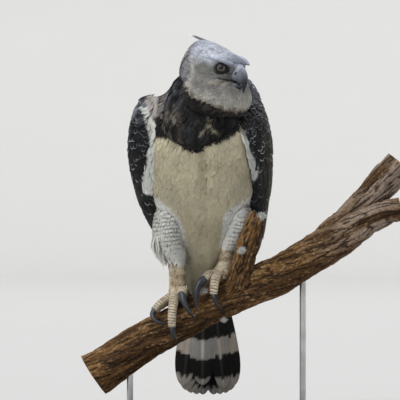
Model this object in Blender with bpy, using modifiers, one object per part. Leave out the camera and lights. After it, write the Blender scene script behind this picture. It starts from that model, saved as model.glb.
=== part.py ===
"""A life-size perched harpy eagle on a cut length of branch, held up by a flat base and two rods.

Metres, +Z up. The bird looks towards -Y with its head turned to its own left, which is +X.
The origin is on the underside of the base. Tables below are in millimetres and are scaled by MM.
"""

import math

import bmesh
import bpy
import numpy as np

MM = 0.001
GAP = 0.4 * MM  # kept between nodes that touch

# Driving sizes of the stand, in metres
BASE_LOW = (-0.225, -0.160)
BASE_HIGH = (0.285, 0.215)
BASE_THICK = 0.018
BASE_ROUND = 0.004
ROD_RADIUS = 0.0070
ROD_LEFT_X = -0.165
ROD_RIGHT_X = 0.215

# The head's own frame: its middle, how far it is turned to the bird's left, and how far it looks down
HEAD_AT = np.array((0.0176, -0.094, 0.736))
HEAD_TURN = math.radians(52)
HEAD_DOWN = math.radians(8)
EYE_AT = (44, 31.5, 29)  # forward, sideways, up in the head's frame
EYE_RADIUS = 13

# The trunk: height, middle across, half width, front, back
TORSO = (
    (258, -15, 8, 70, 86),
    (268, -14, 20, 56, 98),
    (290, -12, 32, 38, 112),
    (320, -10, 45, 16, 122),
    (350, -8, 57, -8, 128),
    (385, -7, 74, -38, 131),
    (420, -6, 93, -74, 130),
    (455, -6, 106, -106, 125),
    (490, -6, 114, -130, 118),
    (530, -6, 118, -146, 109),
    (570, -6, 121, -154, 100),
    (610, -5, 123, -150, 92),
    (645, -5, 124, -130, 88),
    (675, -7, 124, -98, 82),
    (700, -8, 113, -62, 74),
    (722, -8, 88, -28, 62),
    (736, -8, 56, -4, 48),
    (743, -8, 22, 14, 34),
)
# The neck with its dark ruff, in the same columns
NECK = (
    (586, -22, 26, -150, -100),
    (596, -20, 48, -157, -70),
    (615, -16, 72, -163, -30),
    (645, -8, 85, -160, 10),
    (675, 0, 86, -152, 20),
    (705, 5, 81, -142, 14),
    (735, 10, 72, -130, 0),
    (752, 12, 60, -120, -20),
)
# The head's rounded masses, skull, face, forehead and throat: their middles and radii in the head's frame
HEAD_CORE = (12, 0, 12)
HEAD_LOBES = (
    ((-12, 0, 11), (68, 62, 64)),
    ((27, 0, 12), (41, 48, 44)),
    ((34, 0, 30), (36, 42, 29)),
    ((15, 0, -36), (71, 86, 57)),
)
HEAD_BLEND = 12  # the higher, the sharper the folds between the masses
POLE = 0.07  # how near the head's rings come to its front and back, in radians
# Swellings and hollows on each side of the head: middle, spread, and rise
HEAD_BUMPS = (
    ((46, 42, 28), 12, -3.0),  # socket
    ((62, 24, 20), 11, -3.5),  # hollow between eye and bill
    ((14, 60, -2), 24, 4.0),  # cheek
)
# One brow: forward, sideways, up, radius
BROW = (
    (12, 43, 50, 3),
    (28, 43, 50, 8),
    (46, 39, 46, 9),
    (60, 33, 43, 7),
    (72, 28, 40, 3),
)
# The upper bill: share of its length, forward and up of its ridge and of its cutting edge, and half width
BILL_UPPER = (
    (0.00, 54, 41, 54, 2, 18),
    (0.22, 67, 39, 66, 2, 16),
    (0.44, 80, 34, 75, 1, 13),
    (0.62, 89, 23, 81, -2, 10),
    (0.78, 93.5, 9, 84, -7, 7),
    (0.90, 92.5, -6, 85.5, -13, 4),
    (1.00, 87, -21, 85.5, -20, 1),
)
# The lower bill: share, its top's and bottom's forward and up, and the half width
BILL_LOWER = (
    (0.00, 50, 0.5, 50, -13, 14),
    (0.45, 66, 0.5, 66, -15, 12),
    (0.80, 77, -3, 76, -14, 8),
    (1.00, 82, -7, 81, -11, 2.5),
)
NOSTRIL_AT = (72, 15, 19)
NOSTRIL_RADII = (2.4, 5, 6.0)
MOUTH_UP = 2.2  # height of the mouth line in the head's frame
MOUTH_BACK = 40
MOUTH_DEEP = 8
# Rows of crest feathers: how many, how far round the skull from the top they start and end, and half width
CREST_ROWS = ((4, 10, 96, 12), (5, 32, 122, 13), (4, 54, 142, 13))
CREST_AT = (-8, 0, 8)  # middle of the curve that they follow
CREST_RADII = (66, 61, 67)
CREST_SPREAD = 46
CREST_LIFT = (0.0, -2.5, -5.0)
CREST_PAD_AT = (-34, 0, 33)  # the thick of the crest's roots, on the back of the crown
CREST_PAD_RADII = (40, 50, 45)
CREST_RAISED = ((-14, 3, 60, 4), (-34, 4, 73.5, 5.5), (-50, 5, 81, 5), (-66, 6, 85.5, 4), (-82, 6, 89, 1.2))

# A folded wing, by height: its outer edge's distance from the trunk's middle, depth of its front and back
# quarter, angles of its front and back edges round the trunk from straight ahead, and thickness
WING_RIGHT = (
    (704, 118, 78, 60, 72, 104, 8),
    (698, 132, 92, 84, 56, 120, 17),
    (680, 146, 104, 104, 46, 138, 26),
    (650, 157, 108, 116, 41, 150, 34),
    (615, 163, 102, 128, 38, 158, 38),
    (580, 165, 94, 140, 38, 163, 38),
    (540, 160, 84, 140, 41, 165, 34),
    (500, 151, 76, 134, 44, 164, 28),
    (460, 138, 66, 126, 49, 160, 22),
    (420, 120, 58, 122, 58, 154, 16),
    (390, 101, 52, 122, 70, 150, 12),
    (350, 88, 46, 124, 92, 147, 8),
    (310, 72, 40, 122, 112, 143, 5),
    (280, 62, 36, 118, 126, 138, 3),
)
WING_LEFT = (
    (746, 86, 70, 50, 66, 104, 8),
    (737, 103, 86, 74, 50, 120, 17),
    (714, 121, 98, 94, 42, 138, 26),
    (682, 134, 104, 108, 38, 150, 34),
    (645, 146, 104, 120, 37, 157, 38),
    (605, 154, 98, 134, 39, 162, 38),
    (560, 156, 88, 140, 43, 164, 34),
    (515, 154, 80, 136, 47, 163, 28),
    (470, 148, 70, 128, 49, 159, 22),
    (430, 142, 62, 124, 53, 154, 16),
    (394, 136, 56, 124, 58, 150, 12),
    (350, 122, 50, 126, 70, 146, 8),
    (310, 92, 44, 124, 100, 143, 5),
    (285, 72, 38, 120, 122, 138, 3),
)
TRUNK_X = -6
# Tiers of wing feathers, front to back: count, root of the first and last, length of the first and last,
# all as shares of the wing's drop, then rings, and how far the root is sunk and the tip lifted
WING_TIERS = (
    (4, 0.05, 0.05, 0.16, 0.19, 4, 8, 3.5),
    (5, 0.18, 0.19, 0.19, 0.22, 4, 8, 3.5),
    (6, 0.32, 0.34, 0.22, 0.24, 4, 8, 3.5),
    (6, 0.48, 0.50, 0.28, 0.31, 5, 8, 2.5),
    (5, 0.66, 0.69, 0.27, 0.31, 5, 6, 1.5),
)
WING_CORE_END = 0.90
WING_COVER = 4  # how deep the feathers lie on the wing's body
VANE_OVERLAP = 0.60  # half a feather's width as a share of the distance to its neighbour
WING_DRIFT = 0.05
WING_ROOT = 0.13  # share of a feather's length within which it leaves the wing's body
VANE_TILT = 1.2
VANE_THICK = 0.8
# How far back of the origin the trunk's middle lies, by height
MIDDLE = ((260, 82), (350, 62), (420, 30), (490, -5), (550, -22), (600, -29), (650, -20), (700, 6), (745, 20))

# The tail: where its feathers start and how they run
TAIL_ROOT = (0.000, 0.124, 0.398)
TAIL_LEAN = 1.2  # degrees that the whole tail swings to the bird's left
TAIL_HALF = 23
TAIL_THICK = 0.9
TAIL_LAYER = 1.35
TAIL_SLOPE = 0.20  # backwards for each unit of fall
TAIL_TIP_Z = 0.036
# Tail feathers from the back forwards: angle from straight down, and how far short of the tip
TAIL_FEATHERS = ((1.3, 0), (3.3, 1), (5.1, 4), (6.6, 10), (7.8, 20), (2.6, 24))
TAIL_CORE = (
    (462, -2, 16, 92, 118),
    (440, -2, 38, 92, 142),
    (405, -1, 50, 98, 154),
    (365, 0, 50, 112, 160),
    (335, 1, 45, 124, 163),
    (315, 2, 36, 134, 163),
    (306, 2, 18, 142, 160),
)

# The tail's plain form, which the wing tips are kept clear of
TAIL_GUIDE = (
    (60, 8, 84, 182, 207),
    (130, 8, 86, 168, 193),
    (220, 6, 76, 150, 177),
    (300, 4, 63, 132, 164),
    (350, 2, 58, 112, 168),
    (400, 0, 52, 96, 160),
    (440, -2, 40, 90, 146),
    (464, -2, 18, 90, 120),
)
TUFTS = 5  # long feathers round the lower end of each thigh
TUFT_HALF = 8

# Legs: middle across, front to back and up, then radii across and front to back
THIGH_RIGHT = (
    (-70, -18, 478, 30, 40),
    (-80, -20, 450, 42, 52),
    (-85, -18, 415, 38, 50),
    (-82, -12, 382, 36, 44),
    (-72, -4, 354, 30, 34),
    (-64, 2, 336, 22, 24),
)
THIGH_LEFT = (
    (66, -18, 490, 30, 40),
    (78, -18, 462, 40, 50),
    (80, -14, 430, 34, 46),
    (70, -6, 398, 31, 38),
    (56, 2, 372, 25, 29),
    (50, 5, 358, 19, 22),
)
TARSUS_RIGHT = (
    (-64, 2, 352, 17, 18),
    (-62, 5, 330, 19, 20),
    (-61, 4, 305, 18, 19),
    (-60, 0, 282, 19, 20),
    (-59, -3, 266, 21, 22),
    (-59, -4, 256, 17, 18),
)
TARSUS_LEFT = (
    (51, 6, 374, 15, 16),
    (48, 7, 352, 17, 18),
    (44, 6, 332, 17, 18),
    (39, 1, 318, 19, 20),
    (36, -3, 306, 20, 21),
    (35, -4, 297, 17, 18),
)
# Toes: points along the middle line with the radius at each, then the claw's points
TOES = {
    "toe_right_middle": (
        (-62, -10, 262, 11),
        (-66, -34, 256, 11),
        (-70, -52, 236, 10),
        (-72, -59, 212, 9),
        (-72, -59, 193, 8),
    ),
    "toe_right_outer": (
        (-66, -8, 262, 11),
        (-84, -20, 250, 11),
        (-99, -30, 240, 10),
        (-111, -35, 228, 8.5),
    ),
    "toe_right_inner": (
        (-54, -10, 263, 12),
        (-48, -26, 268, 12),
        (-48, -42, 270, 11),
        (-51, -53, 263, 10),
    ),
    "toe_right_hind": (
        (-60, 6, 262, 12),
        (-58, 26, 258, 12),
        (-56, 43, 246, 11),
        (-54, 53, 228, 10),
    ),
    "toe_left_middle": (
        (32, -10, 302, 11),
        (26, -32, 302, 11),
        (22, -49, 292, 10),
        (20, -56, 276, 9),
        (19, -56, 264, 8),
    ),
    "toe_left_outer": (
        (40, -2, 302, 11),
        (52, 14, 300, 10.5),
        (62, 28, 296, 10),
        (71, 39, 286, 8.5),
    ),
    "toe_left_inner": (
        (30, -10, 303, 12),
        (17, -24, 305, 12),
        (7, -36, 303, 11),
        (0, -44, 295, 10),
    ),
    "toe_left_hind": (
        (34, 6, 302, 12),
        (30, 25, 299, 12),
        (28, 41, 288, 11),
        (27, 51, 270, 10),
    ),
}
CLAWS = {
    "claw_right_middle": (
        (-72, -58, 199, 6.5),
        (-71, -62, 184, 6),
        (-67, -61, 170, 4.2),
        (-63, -56, 158, 1.2),
    ),
    "claw_right_outer": (
        (-110, -36, 231, 6.5),
        (-115, -43, 219, 6),
        (-107, -50, 206, 4.5),
        (-94, -53, 201, 3),
        (-84, -52, 201, 1),
    ),
    "claw_right_inner": (
        (-51, -52, 267, 8),
        (-48, -62, 254, 7.5),
        (-41, -66, 238, 6),
        (-32, -63, 224, 4),
        (-24, -56, 213, 1.2),
    ),
    "claw_right_hind": (
        (-54, 53, 233, 9),
        (-52, 66, 216, 8),
        (-50, 70, 196, 6.5),
        (-48, 65, 178, 4.2),
        (-46, 54, 166, 1.2),
    ),
    "claw_left_middle": (
        (20, -56, 270, 6.5),
        (21, -62, 257, 6),
        (27, -62, 244, 4.5),
        (38, -58, 231, 1.2),
    ),
    "claw_left_outer": (
        (70, 38, 289, 6.5),
        (79, 47, 280, 6),
        (87, 53, 266, 4.2),
        (90, 54, 250, 1.2),
    ),
    "claw_left_inner": (
        (1, -43, 299, 8.5),
        (-10, -53, 290, 8),
        (-18, -60, 272, 6.8),
        (-20, -60, 250, 4.8),
        (-17, -54, 227, 1.2),
    ),
    "claw_left_hind": (
        (27, 51, 275, 9),
        (26, 65, 259, 8),
        (25, 70, 240, 6.5),
        (25, 66, 222, 4.2),
        (25, 55, 210, 1.2),
    ),
}

# The branch: middle across, front to back and up, with the radius
BRANCH = (
    (-246, 2, 86, 47),
    (-200, 0, 116, 46),
    (-121, -2, 168, 42),
    (-60, 0, 199, 41),
    (-11, 0, 224, 41),
    (40, 0, 249, 41),
    (99, 0, 278, 43),
    (160, 0, 305, 45),
    (209, -2, 333, 45),
    (262, -4, 366, 43),
    (308, -6, 394, 38),
    (352, -8, 422, 33),
    (396, -8, 444, 30),
    (431, -8, 452, 29),
)
FORK = (
    (238, 2, 358, 28),
    (272, 8, 388, 32),
    (308, 14, 422, 33),
    (352, 20, 465, 34),
    (396, 25, 513, 35),
    (431, 28, 549, 36),
)
SNAG = (
    (62, -4, 262, 30),
    (76, -22, 302, 28),
    (86, -36, 340, 25),
    (98, -46, 384, 23),
    (109, -54, 420, 19.5),
    (115, -58, 438, 17),
)
SNAG_RAGGED = 9


def remove(thing):
    """Takes an object away, such as a guide that has done its cutting."""
    bpy.data.objects.remove(thing, do_unlink=True)


def clear_scene():
    """Removes what the file opens with."""
    for thing in list(bpy.data.objects):
        remove(thing)


def material(name, colour, roughness, metallic=0.0):
    """A plain finish in the part's colour."""
    made = bpy.data.materials.new(name)
    made.use_nodes = True
    shader = made.node_tree.nodes["Principled BSDF"]
    shader.inputs["Base Color"].default_value = (*colour, 1)
    shader.inputs["Roughness"].default_value = roughness
    shader.inputs["Metallic"].default_value = metallic
    return made


def spline(keys, at):
    """Values at the places in at, on a smooth curve through keys, whose rows are a place and its values."""
    keys = np.array(keys, float)
    if keys[0, 0] > keys[-1, 0]:
        keys = keys[::-1]
    place, value = keys[:, 0], keys[:, 1:]
    slope = np.gradient(value, place, axis=0)
    at = np.clip(np.asarray(at, float), place[0], place[-1])
    i = np.clip(np.searchsorted(place, at) - 1, 0, len(place) - 2)
    span = (place[i + 1] - place[i])[..., None]
    t = (at - place[i])[..., None] / span
    rest = 1 - t
    ends = (1 + 2 * t) * rest**2 * value[i] + t * t * (3 - 2 * t) * value[i + 1]
    return ends + t * rest * span * (rest * slope[i] - t * slope[i + 1])


def rounded(wave, power):
    """A sine or cosine made squarer, as a superellipse's."""
    return np.sign(wave) * np.abs(wave) ** (2 / power)


def mesh_object(name, points, faces, look):
    """A mesh object of triangles that point outwards. Each face of four is split along its shorter diagonal."""
    points = np.asarray(points, float).reshape(-1, 3)
    triangles = []
    for face in faces:
        if len(face) == 3:
            triangles.append(face)
            continue
        a, b, c, d = face
        if np.linalg.norm(points[a] - points[c]) <= np.linalg.norm(points[b] - points[d]):
            triangles += [(a, b, c), (a, c, d)]
        else:
            triangles += [(a, b, d), (b, c, d)]
    triangles = np.array(triangles)
    first, second, third = points[triangles].transpose(1, 0, 2)
    if np.einsum("ij,ij->", first, np.cross(second, third)) < 0:
        triangles = triangles[:, ::-1]
    mesh = bpy.data.meshes.new(name)
    mesh.from_pydata(points.tolist(), [], triangles.tolist())
    mesh.update()
    made = bpy.data.objects.new(name, mesh)
    PARTS.objects.link(made)
    made.data.materials.append(look)
    return made


def ring_solid(name, rings, look):
    """A closed solid through rings of points, shape (rows, columns, 3), with a fan at each end."""
    rows, columns = rings.shape[:2]
    points = np.concatenate([rings.reshape(-1, 3), rings[:1].mean(1), rings[-1:].mean(1)])
    first, last = rows * columns, rows * columns + 1
    faces = []
    for c in range(columns):
        d = (c + 1) % columns
        faces.append((first, d, c))
        faces.append((last, (rows - 1) * columns + c, (rows - 1) * columns + d))
        for r in range(rows - 1):
            faces.append((r * columns + c, r * columns + d, (r + 1) * columns + d, (r + 1) * columns + c))
    return mesh_object(name, points, faces, look)


def level_loft(name, keys, rows, columns, look, power=2.3):
    """A solid of level sections: superellipses with their middle, half width, front and back given by height."""
    keys = np.array(keys, float) * MM
    height = np.linspace(keys[0, 0], keys[-1, 0], rows)
    middle, half, front, back = spline(keys, height).T[..., None]
    angle = np.arange(columns) * 2 * math.pi / columns
    x = middle + half * rounded(np.sin(angle), power)
    y = (front + back) / 2 - (back - front) / 2 * rounded(np.cos(angle), power)
    return ring_solid(name, np.stack([x, y, np.broadcast_to(height[:, None], x.shape)], -1), look)


def along(keys, rows):
    """Points on a smooth line through keys, spaced by length, with whatever else the keys' rows hold."""
    keys = np.array(keys, float) * MM
    step = np.linalg.norm(np.diff(keys[:, :3], axis=0), axis=1)
    place = np.concatenate([[0], np.cumsum(step)])
    return spline(np.column_stack([place, keys]), np.linspace(0, place[-1], rows))


def carried_frames(line):
    """Side and lift directions along a line of points, carried from one to the next without twist."""
    ahead = np.gradient(line, axis=0)
    ahead /= np.linalg.norm(ahead, axis=1, keepdims=True)
    guide = np.array((0.0, 0.0, 1.0)) if abs(ahead[0, 2]) < 0.9 else np.array((0.0, 1.0, 0.0))
    sides = []
    side = np.cross(ahead[0], guide)
    for direction in ahead:
        side = side - direction * side.dot(direction)
        side /= np.linalg.norm(side)
        sides.append(side)
    sides = np.array(sides)
    return sides, np.cross(sides, ahead)


def tube(name, keys, rows, columns, look, bumps=None, ragged=0.0):
    """A solid round a smooth line. Keys hold a point and one radius, or a level leg's two radii.

    A ragged end is torn, with its last ring drawn out and in along the line by that length.
    """
    found = along(keys, rows)
    line, radii = found[:, :3], found[:, 3:]
    angle = np.arange(columns) * 2 * math.pi / columns
    wide, deep = radii[:, :1], radii[:, -1:]
    if radii.shape[1] == 2:
        side = np.broadcast_to((1.0, 0.0, 0.0), line.shape)
        lift = np.broadcast_to((0.0, -1.0, 0.0), line.shape)
    else:
        side, lift = carried_frames(line)
    grown = np.ones((rows, columns)) if bumps is None else bumps(np.linspace(0, 1, rows)[:, None], angle)
    ring = (
        line[:, None]
        + side[:, None] * (wide * np.cos(angle) * grown)[..., None]
        + lift[:, None] * (deep * np.sin(angle) * grown)[..., None]
    )
    if ragged:
        ahead = line[-1] - line[-2]
        ahead /= np.linalg.norm(ahead)
        torn = 0.5 * np.cos(3 * angle + 0.8) + 0.5 * np.cos(5 * angle - 1.1)
        ring[-1] += ahead * (ragged * torn)[:, None]
    return ring_solid(name, ring, look)


def ball(name, middle, radii, look, segments, rings, lean=0.0):
    """An ellipsoid in the head's frame, from a sphere that is stretched, leant forwards and carried to its place."""
    mesh = bpy.data.meshes.new(name)
    shape = bmesh.new()
    bmesh.ops.create_uvsphere(shape, u_segments=segments, v_segments=rings, radius=1)
    bmesh.ops.triangulate(shape, faces=shape.faces)
    shape.to_mesh(mesh)
    shape.free()
    points = np.empty(3 * len(mesh.vertices))
    mesh.vertices.foreach_get("co", points)
    points = points.reshape(-1, 3) * radii
    tilt = np.array(
        ((math.cos(lean), 0, math.sin(lean)), (0, 1, 0), (-math.sin(lean), 0, math.cos(lean)))
    )
    placed = in_head((points @ tilt.T + middle) * MM)
    mesh.vertices.foreach_set("co", placed.ravel())
    mesh.update()
    made = bpy.data.objects.new(name, mesh)
    PARTS.objects.link(made)
    mesh.materials.append(look)
    return made


def head_frame():
    """The head's forward, sideways and up directions. Sideways is the bird's own left."""
    turn, down = HEAD_TURN, HEAD_DOWN
    ahead = (math.sin(turn) * math.cos(down), -math.cos(turn) * math.cos(down), -math.sin(down))
    left = (math.cos(turn), math.sin(turn), 0)
    up = (math.sin(turn) * math.sin(down), -math.cos(turn) * math.sin(down), math.cos(down))
    return np.array((ahead, left, up))


def in_head(points):
    """Points of the head's own frame, placed on the bird."""
    return HEAD_AT + np.asarray(points, float) @ head_frame()


def apply_boolean(thing, other, operation, solver="MANIFOLD"):
    """Cuts another mesh or a whole collection from a mesh, or joins them to it, for good."""
    modifier = thing.modifiers.new(operation.lower(), "BOOLEAN")
    modifier.operation = operation
    modifier.solver = solver
    if isinstance(other, bpy.types.Collection):
        modifier.operand_type = "COLLECTION"
        modifier.collection = other
    else:
        modifier.object = other
    graph = bpy.context.evaluated_depsgraph_get()
    made = bpy.data.meshes.new_from_object(thing.evaluated_get(graph))
    thing.modifiers.remove(modifier)
    thing.data = made


def keep_largest(thing):
    """Keeps only the largest closed surface of a mesh, which fills sealed hollows and drops loose scraps."""
    mesh = thing.data
    mesh.calc_loop_triangles()
    points = np.array([v.co for v in mesh.vertices])
    faces = np.array([t.vertices for t in mesh.loop_triangles])
    label = np.arange(len(points))
    while True:
        lowest = label[faces].min(1)
        changed = label.copy()
        for column in range(3):
            np.minimum.at(changed, faces[:, column], lowest)
        if (changed == label).all():
            break
        label = changed
    volume = np.einsum("ij,ij->i", points[faces[:, 0]], np.cross(points[faces[:, 1]], points[faces[:, 2]]))
    owner = label[faces[:, 0]]
    names = np.unique(owner)
    best = names[np.argmax([volume[owner == n].sum() for n in names])]
    if len(names) > 1:
        kept = faces[owner == best]
        used, index = np.unique(kept, return_inverse=True)
        look = mesh.materials[0]
        fresh = bpy.data.meshes.new(thing.name)
        fresh.from_pydata(points[used].tolist(), [], index.reshape(-1, 3).tolist())
        fresh.update()
        fresh.materials.append(look)
        thing.data = fresh


def fuse(host, pieces, solver="MANIFOLD"):
    """Joins pieces to the host in one union, so that the node is one closed body."""
    group = bpy.data.collections.new("joined")
    bpy.context.scene.collection.children.link(group)
    for piece in pieces:
        PARTS.objects.unlink(piece)
        group.objects.link(piece)
    apply_boolean(host, group, "UNION", solver)
    for piece in pieces:
        remove(piece)
    bpy.data.collections.remove(group)
    keep_largest(host)
    return host


def carve(thing, *others, gap=GAP, solver="MANIFOLD"):
    """Cuts a node clear of others by a small gap, so that they meet face to face."""
    for other in others:
        cutter = other.copy()
        cutter.data = other.data.copy()
        PARTS.objects.link(cutter)
        mesh = cutter.data
        normals = np.array([v.normal for v in mesh.vertices])
        points = np.array([v.co for v in mesh.vertices]) + normals * gap
        mesh.vertices.foreach_set("co", points.ravel())
        mesh.update()
        apply_boolean(thing, cutter, "DIFFERENCE", solver)
        remove(cutter)
    keep_largest(thing)
    return thing


def vane(path, outward, half_widths, thick, tilt, look):
    """One feather: a thin closed strip along a path, flat across, with its sides tilted in and out.

    Both faces are split along the same diagonals, so that the strip keeps its thickness.
    """
    ahead = np.gradient(path, axis=0)
    side = np.cross(ahead, outward)
    side /= np.linalg.norm(side, axis=1, keepdims=True)
    lift = np.cross(side, ahead)
    lift /= np.linalg.norm(lift, axis=1, keepdims=True)
    across = side * np.asarray(half_widths)[:, None]
    rise = lift * tilt
    top = lift * thick / 2
    ring = np.stack([path - across - rise + top, path + across + rise + top], 1)
    ring = np.concatenate([ring, np.stack([path + across + rise - top, path - across - rise - top], 1)], 1)
    rows = len(path)
    faces = [(0, 1, 2), (0, 2, 3)]
    last = 4 * (rows - 1)
    faces += [(last, last + 2, last + 1), (last, last + 3, last + 2)]
    for r in range(rows - 1):
        a, b = 4 * r, 4 * r + 4
        faces += [(a, b, b + 1), (a, b + 1, a + 1)]
        faces += [(a + 3, a + 2, b + 2), (a + 3, b + 2, b + 3)]
        faces += [(a + 1, b + 1, b + 2), (a + 1, b + 2, a + 2)]
        faces += [(a + 3, b + 3, b), (a + 3, b, a)]
    return mesh_object("vane", ring.reshape(-1, 3), faces, look)


def vane_widths(half, u, root=0.45, tip=0.30):
    """A feather's half width at its shares u of the length: narrow, then broad, then rounded off."""
    swell = root + (1 - root) * np.clip(u / 0.4, 0, 1)
    fall = np.where(u > 0.72, tip + (1 - tip) * np.sqrt(np.clip(1 - ((u - 0.72) / 0.28) ** 2, 0, 1)), 1)
    return half * np.minimum(swell, fall)


def trunk_middle(height):
    """How far back the trunk's middle lies at a height."""
    return spline(np.array(MIDDLE, float) * MM, height)[..., 0]


def wing_point(keys, side, share, down, out):
    """A point of a folded wing's outer face: its share across, front to back, and down, top to bottom."""
    table = np.array(keys, float)
    height = (table[0, 0] + (table[-1, 0] - table[0, 0]) * np.asarray(down, float)) * MM
    found = spline(table, height / MM)
    start, end = np.radians(found[..., 3]), np.radians(found[..., 4])
    angle = start + (end - start) * share
    wide = found[..., 0] * MM + out
    front, back = found[..., 1] * MM + out, found[..., 2] * MM + out
    deep = np.where(np.cos(angle) > 0, front, back)
    x = side * wide * np.sin(angle) + TRUNK_X * MM
    return np.stack([x, trunk_middle(height) - deep * np.cos(angle), height + 0 * angle], -1)


def wing_core(name, keys, side, rows, columns, depth, look):
    """The folded wing's body, a little inside its feathers, thick in front and ending short of the tip."""
    down = np.linspace(0, WING_CORE_END, rows)[:, None]
    share = np.linspace(0, 1, columns)
    table = np.array(keys, float)
    height = table[0, 0] + (table[-1, 0] - table[0, 0]) * down[:, 0]
    thick = spline(table, height)[:, 5:6] * MM
    swell = np.sin(math.pi * (0.12 + 0.70 * share**0.8))
    outer = wing_point(keys, side, share, down + 0 * share, -depth)
    inner = wing_point(keys, side, share, down + 0 * share, -depth - thick * swell)
    return ring_solid(name, np.concatenate([outer, inner[:, ::-1]], 1), look)


def wing_feathers(keys, side, look, chance):
    """The tiers of a folded wing. Each vane is rooted in the wing's body and lies over the tier below it."""
    made = []
    for count, first, last, start, end, rows, sunk, lifted in WING_TIERS:
        for k in range(count):
            share = (k + 0.5) / count
            root = first + (last - first) * share + chance.uniform(-0.008, 0.008)
            length = start + (end - start) * share + chance.uniform(-0.01, 0.01)
            u = np.concatenate([[0], np.linspace(WING_ROOT, 1, rows - 1)])
            down = np.clip(root + length * u, 0, 1)
            lane = 0.04 + 0.93 * share + WING_DRIFT * u * (1 - share)
            out = np.interp(u, (0, WING_ROOT, 1), (-sunk, 1.6 - WING_COVER, lifted)) * MM
            path = wing_point(keys, side, lane, down, out)
            outward = wing_point(keys, side, lane, down, out + MM) - path
            beside = wing_point(keys, side, lane + 0.93 / count, down, out) - path
            widths = vane_widths(VANE_OVERLAP, u, 0.35) * np.linalg.norm(beside, axis=1)
            made.append(vane(path, outward, widths, VANE_THICK * MM, -side * VANE_TILT * MM, look))
    return made


def make_torso(look):
    return level_loft("torso", TORSO, 18, 24, look)


def make_neck(look):
    return level_loft("neck", NECK, 8, 18, look)


def head_reach(direction):
    """How far the head's surface lies from its core: the smooth maximum of its masses' reaches."""
    total = 0
    for middle, radii in HEAD_LOBES:
        start = (np.array(HEAD_CORE) - middle) / np.array(radii)
        step = direction / np.array(radii)
        a = (step * step).sum(-1)
        b = (step * start).sum(-1)
        c = (start * start).sum() - 1
        total = total + ((-b + np.sqrt(b * b - a * c)) / a) ** HEAD_BLEND
    return total ** (1 / HEAD_BLEND)


def head_surface(direction):
    """Points of the head in its own frame, in millimetres, with swellings and hollows added."""
    points = np.array(HEAD_CORE) + direction * head_reach(direction)[..., None]
    for (ahead, sideways, up), spread, rise in HEAD_BUMPS:
        for side in (1, -1):
            away = points - np.array((ahead, side * sideways, up))
            points = points + direction * (rise * np.exp(-(away * away).sum(-1) / spread**2))[..., None]
    return points


def make_head(look):
    """The head's masses in one surface, with brows and eyelids joined on."""
    polar = np.linspace(POLE, math.pi - POLE, 16)[:, None]
    around = np.linspace(0, 2 * math.pi, 20, endpoint=False)
    direction = np.stack(
        [np.cos(polar) + 0 * around, np.sin(polar) * np.sin(around), np.sin(polar) * np.cos(around)], -1
    )
    head = ring_solid("head", in_head(head_surface(direction) * MM), look)
    pieces = []
    for side in (1, -1):
        found = along([(a, side * b, c, r) for a, b, c, r in BROW], 6)
        sides, lifts = carried_frames(found[:, :3])
        turn = np.arange(6) * math.pi / 3
        ring = (
            found[:, None, :3]
            + sides[:, None] * (found[:, 3:] * np.cos(turn))[..., None]
            + lifts[:, None] * (0.72 * found[:, 3:] * np.sin(turn))[..., None]
        )
        pieces.append(ring_solid("brow", in_head(ring), look))
        pieces.append(lid(side, look))
    return fuse(head, pieces, "EXACT")


def lid(side, look):
    """The rim of the eyelids, a torus round the eye that faces outwards and a little forwards."""
    out = np.array((0.34, side * 0.94, 0.04))
    out /= np.linalg.norm(out)
    bpy.ops.mesh.primitive_torus_add(
        major_segments=12, minor_segments=5, major_radius=0.0118, minor_radius=0.0033
    )
    ring = bpy.context.object
    ring.name = "lid"
    points = np.array([v.co for v in ring.data.vertices])
    level = np.cross(out, (0, 0, 1))
    level /= np.linalg.norm(level)
    rise = np.cross(level, out)
    middle = np.array(EYE_AT) * (1, side, 1) * MM + out * 0.0062
    placed = middle + points[:, :1] * level + 0.88 * points[:, 1:2] * rise + points[:, 2:] * out
    ring.data.vertices.foreach_set("co", in_head(placed).ravel())
    ring.data.update()
    for group in ring.users_collection:
        group.objects.unlink(ring)
    PARTS.objects.link(ring)
    ring.data.materials.append(look)
    return ring


def make_eye(side, look):
    """An eyeball that fills its socket."""
    name = "eye_left" if side > 0 else "eye_right"
    return ball(name, np.array(EYE_AT) * (1, side, 1), (EYE_RADIUS,) * 3, look, 14, 8)


def bill_rings(keys, rows, columns, narrow_top):
    """Rings between the bill's two outlines. A positive narrow_top makes the upper side the slimmer one."""
    found = spline(keys, np.linspace(0, 1, rows)) * MM
    high, low, half = found[:, 0:2], found[:, 2:4], found[:, 4]
    angle = np.arange(columns) * 2 * math.pi / columns
    rise = (1 + np.cos(angle)) / 2
    middle = low[:, None] + (high - low)[:, None] * rise[:, None]
    sideways = half[:, None] * rounded(np.sin(angle), 2.4) * (1 - narrow_top * np.cos(angle))
    return np.stack([middle[..., 0], sideways, middle[..., 1]], -1)


def make_bill(look):
    upper = ring_solid("bill_upper", in_head(bill_rings(BILL_UPPER, 10, 12, 0.22)), look)
    lower = ring_solid("bill_lower", in_head(bill_rings(BILL_LOWER, 6, 12, -0.15)), look)
    return upper, lower


def cut_nostrils(bill, look):
    for side in (1, -1):
        middle = np.array(NOSTRIL_AT) * (1, side, 1)
        cutter = ball("nostril", middle, NOSTRIL_RADII, look, 8, 6, lean=math.radians(35))
        apply_boolean(bill, cutter, "DIFFERENCE", "EXACT")
        remove(cutter)
    keep_largest(bill)


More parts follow.
